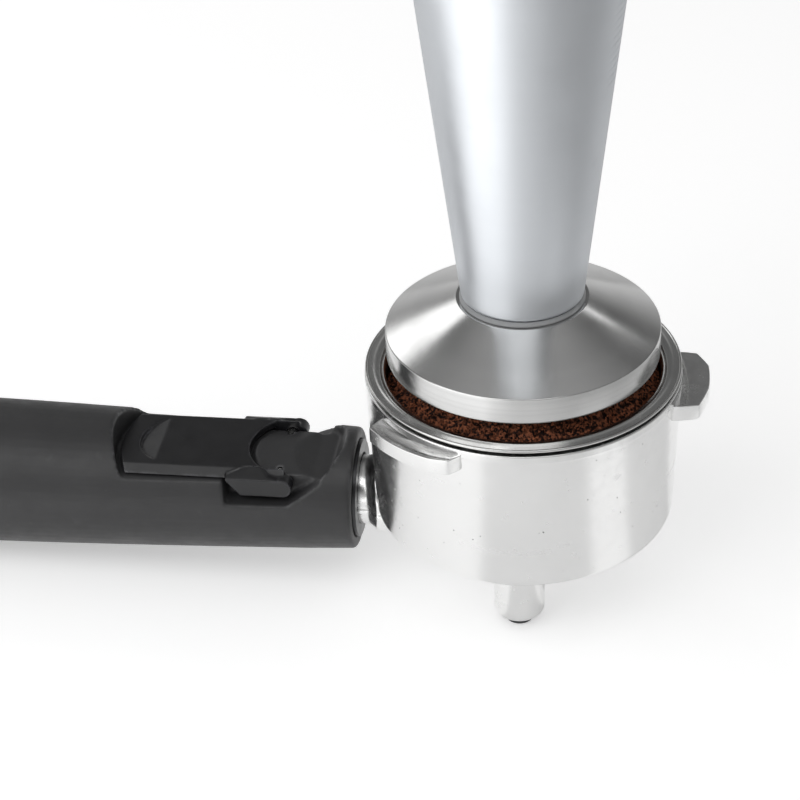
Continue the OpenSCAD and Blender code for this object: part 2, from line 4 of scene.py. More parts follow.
import bmesh
import bpy
from bpy.props import FloatProperty, FloatVectorProperty, IntProperty, PointerProperty
from mathutils import Matrix, Vector, noise


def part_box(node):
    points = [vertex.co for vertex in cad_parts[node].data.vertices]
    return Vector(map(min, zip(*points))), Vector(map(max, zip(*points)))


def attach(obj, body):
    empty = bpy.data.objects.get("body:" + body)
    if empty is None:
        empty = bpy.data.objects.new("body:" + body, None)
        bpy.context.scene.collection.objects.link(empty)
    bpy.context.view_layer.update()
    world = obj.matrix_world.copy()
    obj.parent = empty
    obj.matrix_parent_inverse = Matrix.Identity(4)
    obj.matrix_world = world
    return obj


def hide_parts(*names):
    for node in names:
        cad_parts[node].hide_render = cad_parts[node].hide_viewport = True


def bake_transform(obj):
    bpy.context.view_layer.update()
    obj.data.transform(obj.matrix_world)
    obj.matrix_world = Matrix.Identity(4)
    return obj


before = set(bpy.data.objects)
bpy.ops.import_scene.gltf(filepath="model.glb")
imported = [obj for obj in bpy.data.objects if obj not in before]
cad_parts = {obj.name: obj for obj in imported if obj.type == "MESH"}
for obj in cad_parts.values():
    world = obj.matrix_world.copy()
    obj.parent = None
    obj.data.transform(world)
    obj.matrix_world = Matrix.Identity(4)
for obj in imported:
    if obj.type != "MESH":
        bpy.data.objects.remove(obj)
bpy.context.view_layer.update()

bl_info = {
    "name": "Filter holder and tamper",
    "version": (1, 0, 0),
    "blender": (4, 5, 0),
    "location": "View3D > Sidebar > Filter holder",
    "description": "Builds the finished look of a coffee filter holder with its tamper",
    "category": "Object",
}

MM = 0.001
TURN = 2 * pi

# Points round a large piece, a small one and a bore
ROUND_STEPS = 224
SMALL_STEPS = 96
BORE_STEPS = 64


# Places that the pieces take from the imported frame

CUP_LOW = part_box("holder_body")[0]
SPOUT_LOW, SPOUT_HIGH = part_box("spout_block")
BASKET_LOW, BASKET_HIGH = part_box("filter_basket")
BED_LOW, BED_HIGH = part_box("coffee_bed")
HEAP_LOW, HEAP_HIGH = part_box("coffee_heap")
BASE_LOW, BASE_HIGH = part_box("tamper_base")
RING_LOW, RING_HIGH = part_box("tamper_foot_ring")
STUD_LOW, STUD_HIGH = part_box("tamper_stud")
KNOB_LOW, KNOB_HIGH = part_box("tamper_handle")


def length(label, about, value, least=0.0):
    """A size that a user may change, given in millimetres and kept in metres."""
    return FloatProperty(name=label, description=about, default=value * MM, min=least * MM,
                         unit="LENGTH")


def angle(label, about, value):
    """An angle that a user may change, given in degrees."""
    return FloatProperty(name=label, description=about, default=radians(value), subtype="ANGLE")


def amount(label, about, value, **limits):
    """A plain number that a user may change, from zero up where no other limit is given."""
    return FloatProperty(name=label, description=about, default=value, **{"min": 0.0, **limits})


def colour(label, about, value):
    """A colour that a user may change."""
    return FloatVectorProperty(name=label, description=about, default=value, min=0.0, max=1.0,
                               size=3, subtype="COLOR")


class HolderSizes(bpy.types.PropertyGroup):
    """Sizes of the cup, its lugs, neck and spout"""
    cup_rim: length("Cup rim radius", "Outer radius of the cup at its rim", 29.7)
    cup_foot: length("Cup foot radius", "Outer radius of the cup at its foot", 28.6)
    cup_height: length("Cup height", "Height of the cup from rim to underside", 30.6)
    cup_wall: length("Cup wall", "Thickness of the cup wall", 2.6)
    cup_floor: length("Cup floor", "Thickness of the cup floor", 3.7)
    foot_round: length("Foot rounding", "Rounding of the lower outside edge", 2.0)
    rim_band: length("Rim band", "Height of the turned band under the rim", 2.0)
    hub: length("Hub radius", "Radius of the boss under the cup", 9.5)
    spring_drop: length("Spring drop", "Depth of the basket spring below the rim", 6.2)
    spring_groove: length("Spring groove", "Radius of the groove of the basket spring", 0.9)
    lug_thick: length("Lug thickness", "Thickness of the locking lugs", 3.1)
    lug_ramp: length("Lug ramp", "How far each lug climbs from end to end", 1.1)
    lug_edge: length("Lug edge", "Rounding of the edges of the lugs", 0.16)
    lug_front: length("Front lug radius", "Outer radius of the lug opposite the handle", 34.8)
    lug_side: length("Side lug radius", "Outer radius of the two lugs beside the handle", 33.0)
    neck: length("Neck radius", "Radius of the neck between cup and grip", 7.0)
    neck_drop: length("Neck drop", "Depth of the handle axis below the rim", 30.2)
    neck_reach: length("Neck reach", "Distance from the cup axis to the front of the grip", 32.4)
    tang: length("Tang radius", "Radius of the tang inside the grip", 4.2)
    tang_bore: length("Tang bore", "Radius of the threaded hole in the tang", 2.55)
    tang_depth: length("Tang bore depth", "Depth of the threaded hole in the tang", 14.0)
    collar: length("Collar radius", "Radius of the collar on the spout", 8.4)
    bar: length("Spout bar", "Height of the bar between the outlets", 6.0)
    outlet: length("Outlet radius", "Outer radius of each spout outlet", 4.9)
    outlet_off: length("Outlet distance", "Distance from the cup axis to each outlet", 11.0)
    liner: length("Liner radius", "Radius of the bore that holds a liner", 2.75)
    liner_depth: length("Liner depth", "Depth of the bore that holds a liner", 7.4)
    screw: length("Screw hole radius", "Radius of the hole for the hollow screw", 4.05)
    screw_depth: length("Screw hole depth", "Depth of the screw hole in the spout", 4.6)


class TamperSizes(bpy.types.PropertyGroup):
    """Sizes of the tamper, the basket and the grounds"""
    base: length("Base radius", "Radius of the tamper base", 25.5)
    band: length("Base band", "Height of the straight band of the base", 5.3)
    cone_top: length("Cone top radius", "Radius of the cone under the handle", 12.2)
    edge: length("Base edge", "Rounding of the edges of the base", 0.25)
    stud_hole: length("Stud hole radius", "Radius of the holes for the stud", 4.03)
    washer_hole: length("Washer hole radius", "Radius of the hole in the washer", 4.3)
    knob_foot: length("Handle foot radius", "Radius of the foot of the tamper handle", 11.3)
    knob_mid: length("Handle flare radius", "Radius at the end of the straight flare", 17.9)
    knob_mid_at: length("Handle flare height", "Height of the end of the straight flare", 57.0)
    knob_full_at: length("Handle widest height", "Height of the widest place", 76.0)
    groove_from: length("Groove start", "Height at which the turned grooves start", 44.0)
    groove_pitch: length("Groove pitch", "Spacing of the turned grooves", 1.5)
    groove_depth: length("Groove depth", "Depth of the ribs on the flanks of the handle", 0.16)
    groove_count: IntProperty(name="Groove count", description="Number of turned grooves",
                              default=18, min=0, max=40)
    basket: length("Basket radius", "Inner radius of the filter basket", 25.8)
    sheet: length("Basket sheet", "Thickness of the basket sheet", 0.4)
    crest_at: length("Crest radius", "Radius of the crest of the flange", 27.5)
    heap_top: length("Heap top radius", "Radius of the flat top of the heap", 17.0)
    grain: length("Grain size", "Radius of a coffee grain", 0.31)


class HolderColours(bpy.types.PropertyGroup):
    """Colours of the metals, plastics and grounds"""
    aluminium: colour("Cast aluminium", "Polished cast metal of the cup", (0.82, 0.82, 0.815))
    machined: colour("Machined face", "Cut faces of the lugs", (0.74, 0.74, 0.74))
    sawn: colour("Sawn edge", "Rough edges of the lugs", (0.90, 0.90, 0.895))
    steel: colour("Tamper steel", "Turned steel of the tamper base", (0.66, 0.66, 0.655))
    anodised: colour("Anodised metal", "Satin metal of the tamper handle", (0.72, 0.745, 0.775))
    sheet_steel: colour("Sheet steel", "Polished sheet of the basket", (0.70, 0.70, 0.69))
    fastener: colour("Fastener steel", "Bolts, pin, screw and spring", (0.58, 0.58, 0.57))
    ferrule: colour("Ferrule", "Blackened metal of the ferrule", (0.060, 0.060, 0.062))
    grip: colour("Grip plastic", "Matt black plastic of the grip", (0.026, 0.026, 0.027))
    lever: colour("Retainer plastic", "Black plastic of the basket retainer", (0.008, 0.008, 0.009))
    rubber: colour("Rubber", "Sealing ring of the spout", (0.05, 0.05, 0.052))
    liner: colour("Liner plastic", "Plastic liners of the outlets", (0.03, 0.03, 0.032))
    washer: colour("Washer plastic", "Washer under the tamper handle", (0.27, 0.275, 0.28))
    coffee_dark: colour("Dark grounds", "Darkest grains of the coffee", (0.012, 0.004, 0.003))
    coffee_warm: colour("Warm grounds", "Lightest grains of the coffee", (0.44, 0.150, 0.072))
    floor: colour("Floor", "Plain pale floor", (0.90, 0.90, 0.90))


class StudioSettings(bpy.types.PropertyGroup):
    """Camera and lights of the studio"""
    lens: amount("Lens", "Focal length in millimetres", 99.0, min=20.0)
    distance: length("Camera distance", "Distance from the camera to what it looks at", 412.0)
    tilt: angle("Camera height", "Elevation of the camera", 33.8)
    roll: angle("Camera roll", "Turn of the picture", -2.6)
    turn: angle("Camera turn", "Turn of the camera about the cup axis", 9.3)
    aim_side: length("Aim sideways", "Aim point left of the cup axis", 23.3, least=-1000)
    aim_down: length("Aim down", "Aim point below the rim in the picture", 5.37, least=-1000)
    key: amount("Key light", "Brightness of the large light beside the camera", 1.75)
    rear: amount("Rear light", "Brightness of the small lights behind the part", 1.7)
    high: amount("High light", "Brightness of the light above the camera", 1.3)
    fill: amount("Fill light", "Strength of the light from all round", 0.46)
    room: amount("Room", "Brightness of the dark room that polished metal shows", 0.13, max=1.0)


# Mesh making

def polar(radius, turned, z):
    """A point from its distance to the axis, its angle in radians and its height."""
    return Vector((radius * cos(turned), radius * sin(turned), z))


def arc(centre, radii, degrees):
    """Points of an elliptic arc in a profile, with no rounding of their own."""
    return [(centre[0] + radii[0] * cos(radians(a)), centre[1] + radii[1] * sin(radians(a)), 0)
            for a in degrees]


def soften(points, closed, steps=6):
    """A profile with its corners rounded. A point is (radius, height, rounding)."""
    flat = []
    count = len(points)
    for i, (x, y, bend) in enumerate(points):
        here = Vector((x, y))
        if bend <= 0 or (not closed and i in (0, count - 1)):
            flat.append(here)
            continue
        back = Vector(points[i - 1][:2]) - here
        ahead = Vector(points[(i + 1) % count][:2]) - here
        half = back.angle(ahead) / 2
        cut = min(bend / tan(half), 0.48 * back.length, 0.48 * ahead.length)
        radius = cut * tan(half)
        back.normalize()
        ahead.normalize()
        centre = here + (back + ahead).normalized() * (radius / sin(half))
        start = here + back * cut - centre
        swing = start.angle_signed(here + ahead * cut - centre)
        for k in range(steps + 1):
            a = -swing * k / steps
            flat.append(centre + Vector((start.x * cos(a) - start.y * sin(a),
                                         start.x * sin(a) + start.y * cos(a))))
    return brace(flat, closed)


def brace(flat, closed, near=0.12 * MM):
    """Adds points beside the corners, so that flat stretches are shaded flat."""
    out = []
    count = len(flat)
    for i, here in enumerate(flat):
        out.append(here)
        if i == count - 1 and not closed:
            break
        after = flat[(i + 1) % count]
        reach = (after - here).length
        if reach > 6 * near:
            out.append(here.lerp(after, near / reach))
            out.append(here.lerp(after, 1 - near / reach))
    return out


def skin(mesh, rings, closed=False):
    """Joins rings of points with faces. A ring may be a single point on the axis."""
    steps = max(len(ring) for ring in rings)
    pairs = list(zip(rings, rings[1:])) + ([(rings[-1], rings[0])] if closed else [])
    for low, high in pairs:
        for k in range(steps):
            n = (k + 1) % steps
            corners = [low[k % len(low)], low[n % len(low)], high[n % len(high)], high[k % len(high)]]
            corners = [c for i, c in enumerate(corners) if c is not corners[i - 1]]
            if len(corners) > 2:
                mesh.faces.new(corners)


def add_lathe(mesh, profile, closed=False, place=Matrix.Identity(4), steps=ROUND_STEPS):
    """Turns a profile of (radius, height) about the axis."""
    skin(mesh, [[mesh.verts.new(place @ polar(p[0], TURN * k / steps, p[1]))
                 for k in range(steps if abs(p[0]) > 1e-9 else 1)] for p in profile], closed)


def add_turned(mesh, points, closed=False, **way):
    """Turns a profile with rounded corners about the axis. A point is (radius, height, rounding)."""
    add_lathe(mesh, soften(points, closed), closed, **way)


def add_slab(mesh, outline, low, high, round_by):
    """Adds a plate with rounded edges, from its outline in plan."""
    bottom, top = ([mesh.verts.new((*p, z)) for p in outline] for z in (low, high))
    count = len(outline)
    faces = [mesh.faces.new(top), mesh.faces.new(bottom[::-1])]
    faces += [mesh.faces.new([bottom[i], bottom[(i + 1) % count], top[(i + 1) % count], top[i]])
              for i in range(count)]
    sharp = {e for f in faces for e in f.edges if e.calc_face_angle(0) > radians(15)}
    bmesh.ops.bevel(mesh, geom=list(sharp), offset=round_by, segments=3, profile=0.6,
                    affect="EDGES", clamp_overlap=True)


def mesh_data(name, mesh):
    """Ends mesh work and keeps its result."""
    bmesh.ops.recalc_face_normals(mesh, faces=mesh.faces)
    data = bpy.data.meshes.new(name)
    mesh.to_mesh(data)
    mesh.free()
    return data


def add_object(name, data):
    """Puts a new object in the scene."""
    item = bpy.data.objects.new(name, data)
    bpy.context.scene.collection.objects.link(item)
    return item


def apply_modifiers(piece):
    """Turns what the modifiers make into the piece's own mesh."""
    evaluated = piece.evaluated_get(bpy.context.evaluated_depsgraph_get())
    data = bpy.data.meshes.new_from_object(evaluated)
    piece.modifiers.clear()
    piece.data = data


def make_piece(name, mesh, materials, body, nodes, smooth=True):
    """Turns finished mesh work into a piece that rides on a body."""
    piece = add_object(name, mesh_data(name, mesh))
    if smooth:
        piece.data.shade_smooth()
    settle(piece, materials, body, nodes)
    return piece


def settle(piece, materials, body, nodes):
    """Gives a piece its materials, its body and the nodes it stands for."""
    piece.data.materials.clear()
    for name in materials:
        piece.data.materials.append(bpy.data.materials[name])
    if body:
        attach(piece, body)
    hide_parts(*nodes)


def moulded(name, source, voxel, passes):
    """A copy of a mesh with the soft edges of a moulding or casting."""
    piece = add_object(name, source.copy())
    remesh = piece.modifiers.new("Skin", "REMESH")
    remesh.mode = "VOXEL"
    remesh.voxel_size = voxel
    remesh.use_smooth_shade = True
    ease = piece.modifiers.new("Ease", "SMOOTH")
    ease.factor = 0.5
    ease.iterations = passes
    apply_modifiers(piece)
    piece.data.name = name
    return piece


def finish_nodes(material, slot, **bevels):
    """Gives CAD nodes their finish and their soft edges, whose width is given in millimetres.
    Their meshes stay as they are."""
    for node, bevel in bevels.items():
        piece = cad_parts[node]
        piece.data.materials.clear()
        piece.data.materials.append(bpy.data.materials[material])
        weld = piece.modifiers.new("Weld", "WELD")
        weld.merge_threshold = 0.002 * MM
        soft = piece.modifiers.new("Edges", "BEVEL")
        soft.width = bevel * MM
        soft.segments = 3
        soft.limit_method = "ANGLE"
        soft.angle_limit = radians(35)
        soft.harden_normals = True


# Node work

NODE_COLUMN = 190
NODE_ROW = 260
NODES_IN_ROW = 12


def put(tree, kind, wired=None, **settings):
    """Adds a shader node. wired gives its sockets values or links, and the rest are settings."""
    node = tree.nodes.new("ShaderNode" + kind)
    row, column = divmod(len(tree.nodes), NODES_IN_ROW)
    node.location = (NODE_COLUMN * column, -NODE_ROW * row)
    for key, value in settings.items():
        setattr(node, key, value)
    for key, value in (wired or {}).items():
        if isinstance(value, bpy.types.NodeSocket):
            tree.links.new(value, node.inputs[key])
        else:
            node.inputs[key].default_value = value
    return node


def calc(tree, operation, *values):
    """The result of a math node."""
    return put(tree, "Math", dict(enumerate(values)), operation=operation).outputs[0]


def spread(tree, value, low, high, to_low=0.0, to_high=1.0):
    """Maps a value from one range to another, held at its ends."""
    return put(tree, "MapRange", {"Value": value, "From Min": low, "From Max": high,
                                  "To Min": to_low, "To Max": to_high}).outputs[0]


def mixed(tree, factor, a, b, kind="FLOAT"):
    """A mix of two numbers, or of two colours."""
    return put(tree, "Mix", {"Factor": factor, "A": a, "B": b}, data_type=kind).outputs["Result"]


def noise_of(tree, vector, scale, detail=2.0, rough=0.5, output=0):
    """A noise texture's value."""
    return put(tree, "TexNoise", {"Vector": vector, "Scale": scale, "Detail": detail,
                                  "Roughness": rough}).outputs[output]


def line_noise(tree, along, detail):
    """Noise that changes in one direction only."""
    return put(tree, "TexNoise", {"W": along, "Scale": 1.0, "Detail": detail},
               noise_dimensions="1D").outputs[0]


def size_of(tree, vector):
    """The length of a vector."""
    return put(tree, "VectorMath", {0: vector}, operation="LENGTH").outputs["Value"]


def parts_of(tree, vector):
    """The three numbers of a vector or a colour."""
    return put(tree, "SeparateXYZ", {0: vector}).outputs


def new_group(name, outputs, **inputs):
    """A shader node group with named sockets. An input is a number, a colour or, as None, a place.
    Returns it with its inner ends."""
    tree = bpy.data.node_groups.new(name, "ShaderNodeTree")
    for label, value in inputs.items():
        kind = "Vector" if value is None else "Color" if isinstance(value, tuple) else "Float"
        socket = tree.interface.new_socket(label, in_out="INPUT", socket_type="NodeSocket" + kind)
        if value is not None:
            socket.default_value = value
    for label in outputs:
        kind = "Color" if label == "Color" else "Float"
        tree.interface.new_socket(label, in_out="OUTPUT", socket_type="NodeSocket" + kind)
    entry, leave = tree.nodes.new("NodeGroupInput"), tree.nodes.new("NodeGroupOutput")
    leave.location.x = 2 * NODE_COLUMN
    return tree, entry.outputs, leave.inputs


def use_group(tree, name, **wired):
    """Places a shared group in a material."""
    return put(tree, "Group", wired, node_tree=bpy.data.node_groups[name]).outputs


def wire(tree, ends, **values):
    """Links results to named sockets. An underscore stands for the space in a socket's name."""
    for label, value in values.items():
        tree.links.new(value, ends[label.replace("_", " ")])


def group_smears():
    """Slow changes of gloss over a wiped surface."""
    tree, given, out = new_group("Smears", ("Broad", "Fine"), Vector=None, Scale=60.0)
    finer = calc(tree, "MULTIPLY", given["Scale"], 7.0)
    wire(tree, out, Broad=noise_of(tree, given["Vector"], given["Scale"], 3.0, 0.6),
         Fine=noise_of(tree, given["Vector"], finer, 4.0, 0.65))


def group_scratches():
    """Hairline scratches in two crossing directions."""
    tree, given, out = new_group("Hair scratches", ("Mask",), Vector=None, Scale=300.0)
    masks = []
    for turn, stretch in (((0.3, 0.2, 0.6), (1.0, 0.03, 1.0)), ((0.9, 0.5, -0.7), (0.02, 1.0, 1.0))):
        laid = put(tree, "Mapping", {"Vector": given["Vector"], "Rotation": turn,
                                     "Scale": stretch}).outputs[0]
        masks.append(spread(tree, noise_of(tree, laid, given["Scale"]), 0.66, 0.74))
    wire(tree, out, Mask=calc(tree, "MAXIMUM", *masks))


def group_turned():
    """Fine rings left by a lathe about the Z axis."""
    tree, given, out = new_group("Turned rings", ("Height", "Tone"), Vector=None, Pitch=0.00025)
    parts = parts_of(tree, given["Vector"])
    flat = put(tree, "CombineXYZ", {0: parts[0], 1: parts[1]}).outputs[0]
    along = calc(tree, "ADD", size_of(tree, flat), calc(tree, "MULTIPLY", parts[2], 1.7))
    count = calc(tree, "DIVIDE", along, given["Pitch"])
    wire(tree, out, Height=line_noise(tree, count, 3.0),
         Tone=line_noise(tree, calc(tree, "MULTIPLY", count, 0.11), 2.0))


def group_pits():
    """Small dark pits of a casting, at places picked by their cells."""
    tree, given, out = new_group("Casting pits", ("Mask", "Height"), Vector=None, Scale=900.0,
                                 Cover=0.5)
    wobble = noise_of(tree, given["Vector"], 1500.0, output=1)
    aside = put(tree, "VectorMath", {0: wobble, "Scale": 0.6 * MM}, operation="SCALE").outputs[0]
    shifted = put(tree, "VectorMath", {0: given["Vector"], 1: aside}, operation="ADD").outputs[0]
    cell = put(tree, "TexVoronoi", {"Vector": shifted, "Scale": given["Scale"]}).outputs
    dot = spread(tree, cell["Distance"], 0.10, 0.22, 1.0, 0.0)
    pick = calc(tree, "ADD", parts_of(tree, cell["Color"])[0], given["Cover"])
    mask = calc(tree, "MULTIPLY", dot, spread(tree, pick, 0.98, 1.0))
    wire(tree, out, Mask=mask, Height=calc(tree, "SUBTRACT", 1.0, mask))


def group_wear_and_highlight():
    """Where an edge is rubbed, and where an edge gets a painted highlight: the normal of a softened edge
    leaves the real one.
    """
    tree, given, out = new_group("Edge wear", ("Mask",), Vector=None, Radius=0.0004, Breakup=400.0)
    soft = put(tree, "Bevel", {"Radius": given["Radius"]}, samples=4).outputs[0]
    real = put(tree, "NewGeometry").outputs["Normal"]
    match = put(tree, "VectorMath", {0: soft, 1: real}, operation="DOT_PRODUCT").outputs["Value"]
    edge = spread(tree, match, 0.90, 0.995, 1.0, 0.0)
    patch = spread(tree, noise_of(tree, given["Vector"], given["Breakup"], 4.0, 0.65), 0.42, 0.62)
    wire(tree, out, Mask=calc(tree, "MULTIPLY", edge, patch))


def group_mould():
    """The fine spark-eroded grain of moulded plastic."""
    tree, given, out = new_group("Mould grain", ("Height", "Tone"), Vector=None, Scale=2600.0)
    fine = noise_of(tree, given["Vector"], given["Scale"], 2.0, 0.6)
    coarse = noise_of(tree, given["Vector"], calc(tree, "MULTIPLY", given["Scale"], 0.3))
    wire(tree, out, Height=calc(tree, "ADD", fine, coarse),
         Tone=noise_of(tree, given["Vector"], 90.0, 3.0, 0.6))


def group_grounds():
    """Colour and relief of ground coffee."""
    tree, given, out = new_group("Ground coffee", ("Color", "Height"), Vector=None, Size=1400.0,
                                 Dark=(0, 0, 0, 1), Warm=(1, 1, 1, 1))
    cell = put(tree, "TexVoronoi", {"Vector": given["Vector"], "Scale": given["Size"]}).outputs
    chip = noise_of(tree, given["Vector"], 5200.0, 3.0, 0.7)
    lean = calc(tree, "MULTIPLY", parts_of(tree, cell["Color"])[0],
                spread(tree, chip, 0.3, 0.7, 0.35, 1.3))
    share = spread(tree, lean, 0.26, 0.95)
    wire(tree, out, Color=mixed(tree, share, given["Dark"], given["Warm"], "RGBA"),
         Height=calc(tree, "ADD", cell["Distance"], chip))


def new_material(name, base, metallic, roughness, **sockets):
    """A material with one Principled shader. Returns its tree, shader and coordinates."""
    material = bpy.data.materials.new(name)
    material.use_nodes = True
    material.diffuse_color = (*base, 1)
    tree = material.node_tree
    tree.nodes.clear()
    shader = put(tree, "BsdfPrincipled", {"Base Color": (*base, 1), "Metallic": metallic,
                                          "Roughness": roughness, **sockets})
    put(tree, "OutputMaterial", {"Surface": shader.outputs[0]})
    return tree, shader, put(tree, "TexCoord").outputs["Object"]


def scaled(tint, by):
    """A colour made darker or lighter."""
    return tuple(min(1.0, c * by) for c in tint)


def shade(tree, tint, *marks):
    """Lays darker or lighter marks over a colour. A mark is (mask, how light)."""
    shown = (*tint, 1)
    for mask, by in marks:
        shown = mixed(tree, mask, shown, (*scaled(tint, by), 1), "RGBA")
    return shown


def dress(tree, shader, base, rough, *layers):
    """Wires colour, roughness and relief. A layer is (height, strength, distance)."""
    wire(tree, shader.inputs, Base_Color=base, Roughness=rough)
    normal = {}
    for height, strength, distance in layers:
        bump = put(tree, "Bump", {"Height": height, "Strength": strength, "Distance": distance,
                                  **normal})
        normal = {"Normal": bump.outputs[0]}
    wire(tree, shader.inputs, **normal)


def make_cast(name, tint, gloss, cover):
    """Polished cast aluminium with pits, smears, hair scratches, and edges lightened partly as wear and
    partly as painted highlight.
    """
    tree, shader, where = new_material(name, tint, 1.0, gloss)
    smears = use_group(tree, "Smears", Vector=where, Scale=70.0)
    pits = use_group(tree, "Casting pits", Vector=where, Scale=1400.0, Cover=cover)
    hairs = use_group(tree, "Hair scratches", Vector=where, Scale=420.0)
    wear_and_highlight = use_group(tree, "Edge wear", Vector=where, Radius=0.35 * MM, Breakup=700.0)
    # The edge mask lightens the edges: partly wear, partly painted highlight.
    base = shade(tree, tint, (spread(tree, smears["Broad"], 0.35, 0.75, 0.0, 0.5), 0.93),
                 (wear_and_highlight["Mask"], 1.12), (pits["Mask"], 0.18))
    rough = calc(tree, "ADD", spread(tree, smears["Fine"], 0.3, 0.75, gloss - 0.04, gloss + 0.09),
                 calc(tree, "MULTIPLY", hairs["Mask"], 0.08))
    dress(tree, shader, base, rough, (smears["Broad"], 0.10, 0.4 * MM),
          (pits["Height"], 0.7, 0.12 * MM), (hairs["Mask"], 0.05, 0.02 * MM))


def make_turned(name, tint, gloss, pitch, turned, lean=0.0, tone=0.90):
    """Lathe-turned metal with fine rings, and highlights drawn out across them."""
    tree, shader, where = new_material(name, tint, 1.0, gloss, Anisotropic=lean)
    rings = use_group(tree, "Turned rings", Vector=where, Pitch=pitch * MM)
    smears = use_group(tree, "Smears", Vector=where, Scale=90.0)
    hairs = use_group(tree, "Hair scratches", Vector=where, Scale=380.0)
    if lean:
        wire(tree, shader.inputs,
             Tangent=put(tree, "Tangent", direction_type="RADIAL", axis="Z").outputs[0])
    base = shade(tree, tint, (spread(tree, rings["Tone"], 0.35, 0.7, 0.0, 0.6), tone),
                 (spread(tree, smears["Fine"], 0.5, 0.8, 0.0, 0.35), tone))
    rough = calc(tree, "ADD", spread(tree, smears["Broad"], 0.3, 0.7, gloss - 0.03, gloss + 0.05),
                 calc(tree, "MULTIPLY", hairs["Mask"], 0.06))
    dress(tree, shader, base, rough, (rings["Height"], turned, 0.03 * MM),
          (hairs["Mask"], 0.04, 0.02 * MM))


def make_plastic(name, tint, gloss, grain, bump, worn_and_lit=2.2):
    """Moulded plastic with grain, edges lightened partly as wear and partly as painted highlight, and
    fine scratches.
    """
    tree, shader, where = new_material(name, tint, 0.0, gloss)
    grains = use_group(tree, "Mould grain", Vector=where, Scale=grain)
    smears = use_group(tree, "Smears", Vector=where, Scale=45.0)
    wear_and_highlight = use_group(tree, "Edge wear", Vector=where, Radius=0.8 * MM, Breakup=300.0)
    hairs = use_group(tree, "Hair scratches", Vector=where, Scale=260.0)
    # The edge mask lightens the edges by the given factor: partly wear, partly painted highlight.
    base = shade(tree, tint, (spread(tree, grains["Tone"], 0.35, 0.7, 0.0, 0.6), 1.35),
                 (wear_and_highlight["Mask"], worn_and_lit), (calc(tree, "MULTIPLY", hairs["Mask"], 0.35), 2.0))
    rough = calc(tree, "SUBTRACT", spread(tree, smears["Fine"], 0.3, 0.75, gloss - 0.05, gloss + 0.08),
                 calc(tree, "MULTIPLY", wear_and_highlight["Mask"], 0.12))
    dress(tree, shader, base, rough, (grains["Height"], bump, 0.03 * MM),
          (smears["Broad"], 0.05, 0.3 * MM))


def make_coffee(name, dark, warm):
    """Ground coffee, dark with warm chips."""
    tree, shader, where = new_material(name, warm, 0.0, 0.62, **{"Specular IOR Level": 0.15})
    grounds = use_group(tree, "Ground coffee", Vector=where, Size=2500.0, Dark=(*dark, 1),
                        Warm=(*warm, 1))
    smears = use_group(tree, "Smears", Vector=where, Scale=160.0)
    dress(tree, shader, grounds["Color"], spread(tree, smears["Fine"], 0.3, 0.7, 0.42, 0.78),
          (grounds["Height"], 0.5, 0.15 * MM))


def tints(context):
    """The colours that the user chose, by name."""
    chosen = context.scene.holder_colours
    return {name: tuple(getattr(chosen, name)) for name in HolderColours.__annotations__}


class FILTERHOLDER_OT_finishes(bpy.types.Operator):
    """Make the shared effects and the materials"""
    bl_idname = "filter_holder.finishes"
    bl_label = "Finishes"

    def execute(self, context):
        for build in (group_smears, group_scratches, group_turned, group_pits, group_wear_and_highlight,
                      group_mould, group_grounds):
            build()
        tint = tints(context)
        make_cast("cast_polished", tint["aluminium"], gloss=0.20, cover=0.0025)
        make_cast("cast_sawn", tint["sawn"], gloss=0.46, cover=0.02)
        make_cast("cast_machined", tint["machined"], gloss=0.26, cover=0.02)
        make_cast("spout_cast", tint["aluminium"], gloss=0.22, cover=0.02)
        make_turned("turned_steel", tint["steel"], gloss=0.165, pitch=0.16, turned=0.03, lean=0.45)
        make_turned("anodised", tint["anodised"], gloss=0.38, pitch=0.5, turned=0.0, lean=0.10,
                    tone=0.99)
        make_turned("sheet_steel", tint["sheet_steel"], gloss=0.20, pitch=0.5, turned=0.04)
        make_turned("fastener", tint["fastener"], gloss=0.26, pitch=0.3, turned=0.05)
        make_turned("ferrule_dark", tint["ferrule"], gloss=0.30, pitch=0.3, turned=0.05)
        # The strong edge lightening on grip and lever is mostly painted highlight along the edges, with
        # some wear.
        make_plastic("grip_black", tint["grip"], gloss=0.46, grain=2600.0, bump=0.22, worn_and_lit=5.0)
        make_plastic("lever_black", tint["lever"], gloss=0.34, grain=3000.0, bump=0.12, worn_and_lit=7.0)
        make_plastic("cap_black", tint["grip"], gloss=0.42, grain=2600.0, bump=0.18)
        make_plastic("rubber", tint["rubber"], gloss=0.62, grain=1800.0, bump=0.25)
        make_plastic("liner_black", tint["liner"], gloss=0.40, grain=2600.0, bump=0.12)
        make_plastic("washer_satin", tint["washer"], gloss=0.42, grain=2600.0, bump=0.10, worn_and_lit=1.1)
        make_coffee("ground_coffee", tint["coffee_dark"], tint["coffee_warm"])
        return {"FINISHED"}


# Cup. A corner of a lug is its degrees and how many millimetres it is inside the lug's radius

FRONT_LUG = ((-17.0, 5.1), (-13.2, 0.9), (-3.6, 0.05), (7.8, 0.0), (14.6, 1.5), (17.0, 5.1))
SIDE_LUG = ((-146.0, 3.8), (-142.9, 0.0), (-115.5, 0.05), (-109.2, 0.8), (-106.0, 3.8))
TWIN_TURN = 252
LUG_STEP = 1.5
CORNER_SHARE = 0.02
NECK_STATIONS = (0, 4, 8, 12, 16, 20, 24, 26, 27, 27.6, 28.0, 28.3, 28.6, 28.9, 29.2, 29.5, 29.8,
                 30.1, 30.4, 30.7, 31.0, 31.4, 31.8, 32.2, 33.0)


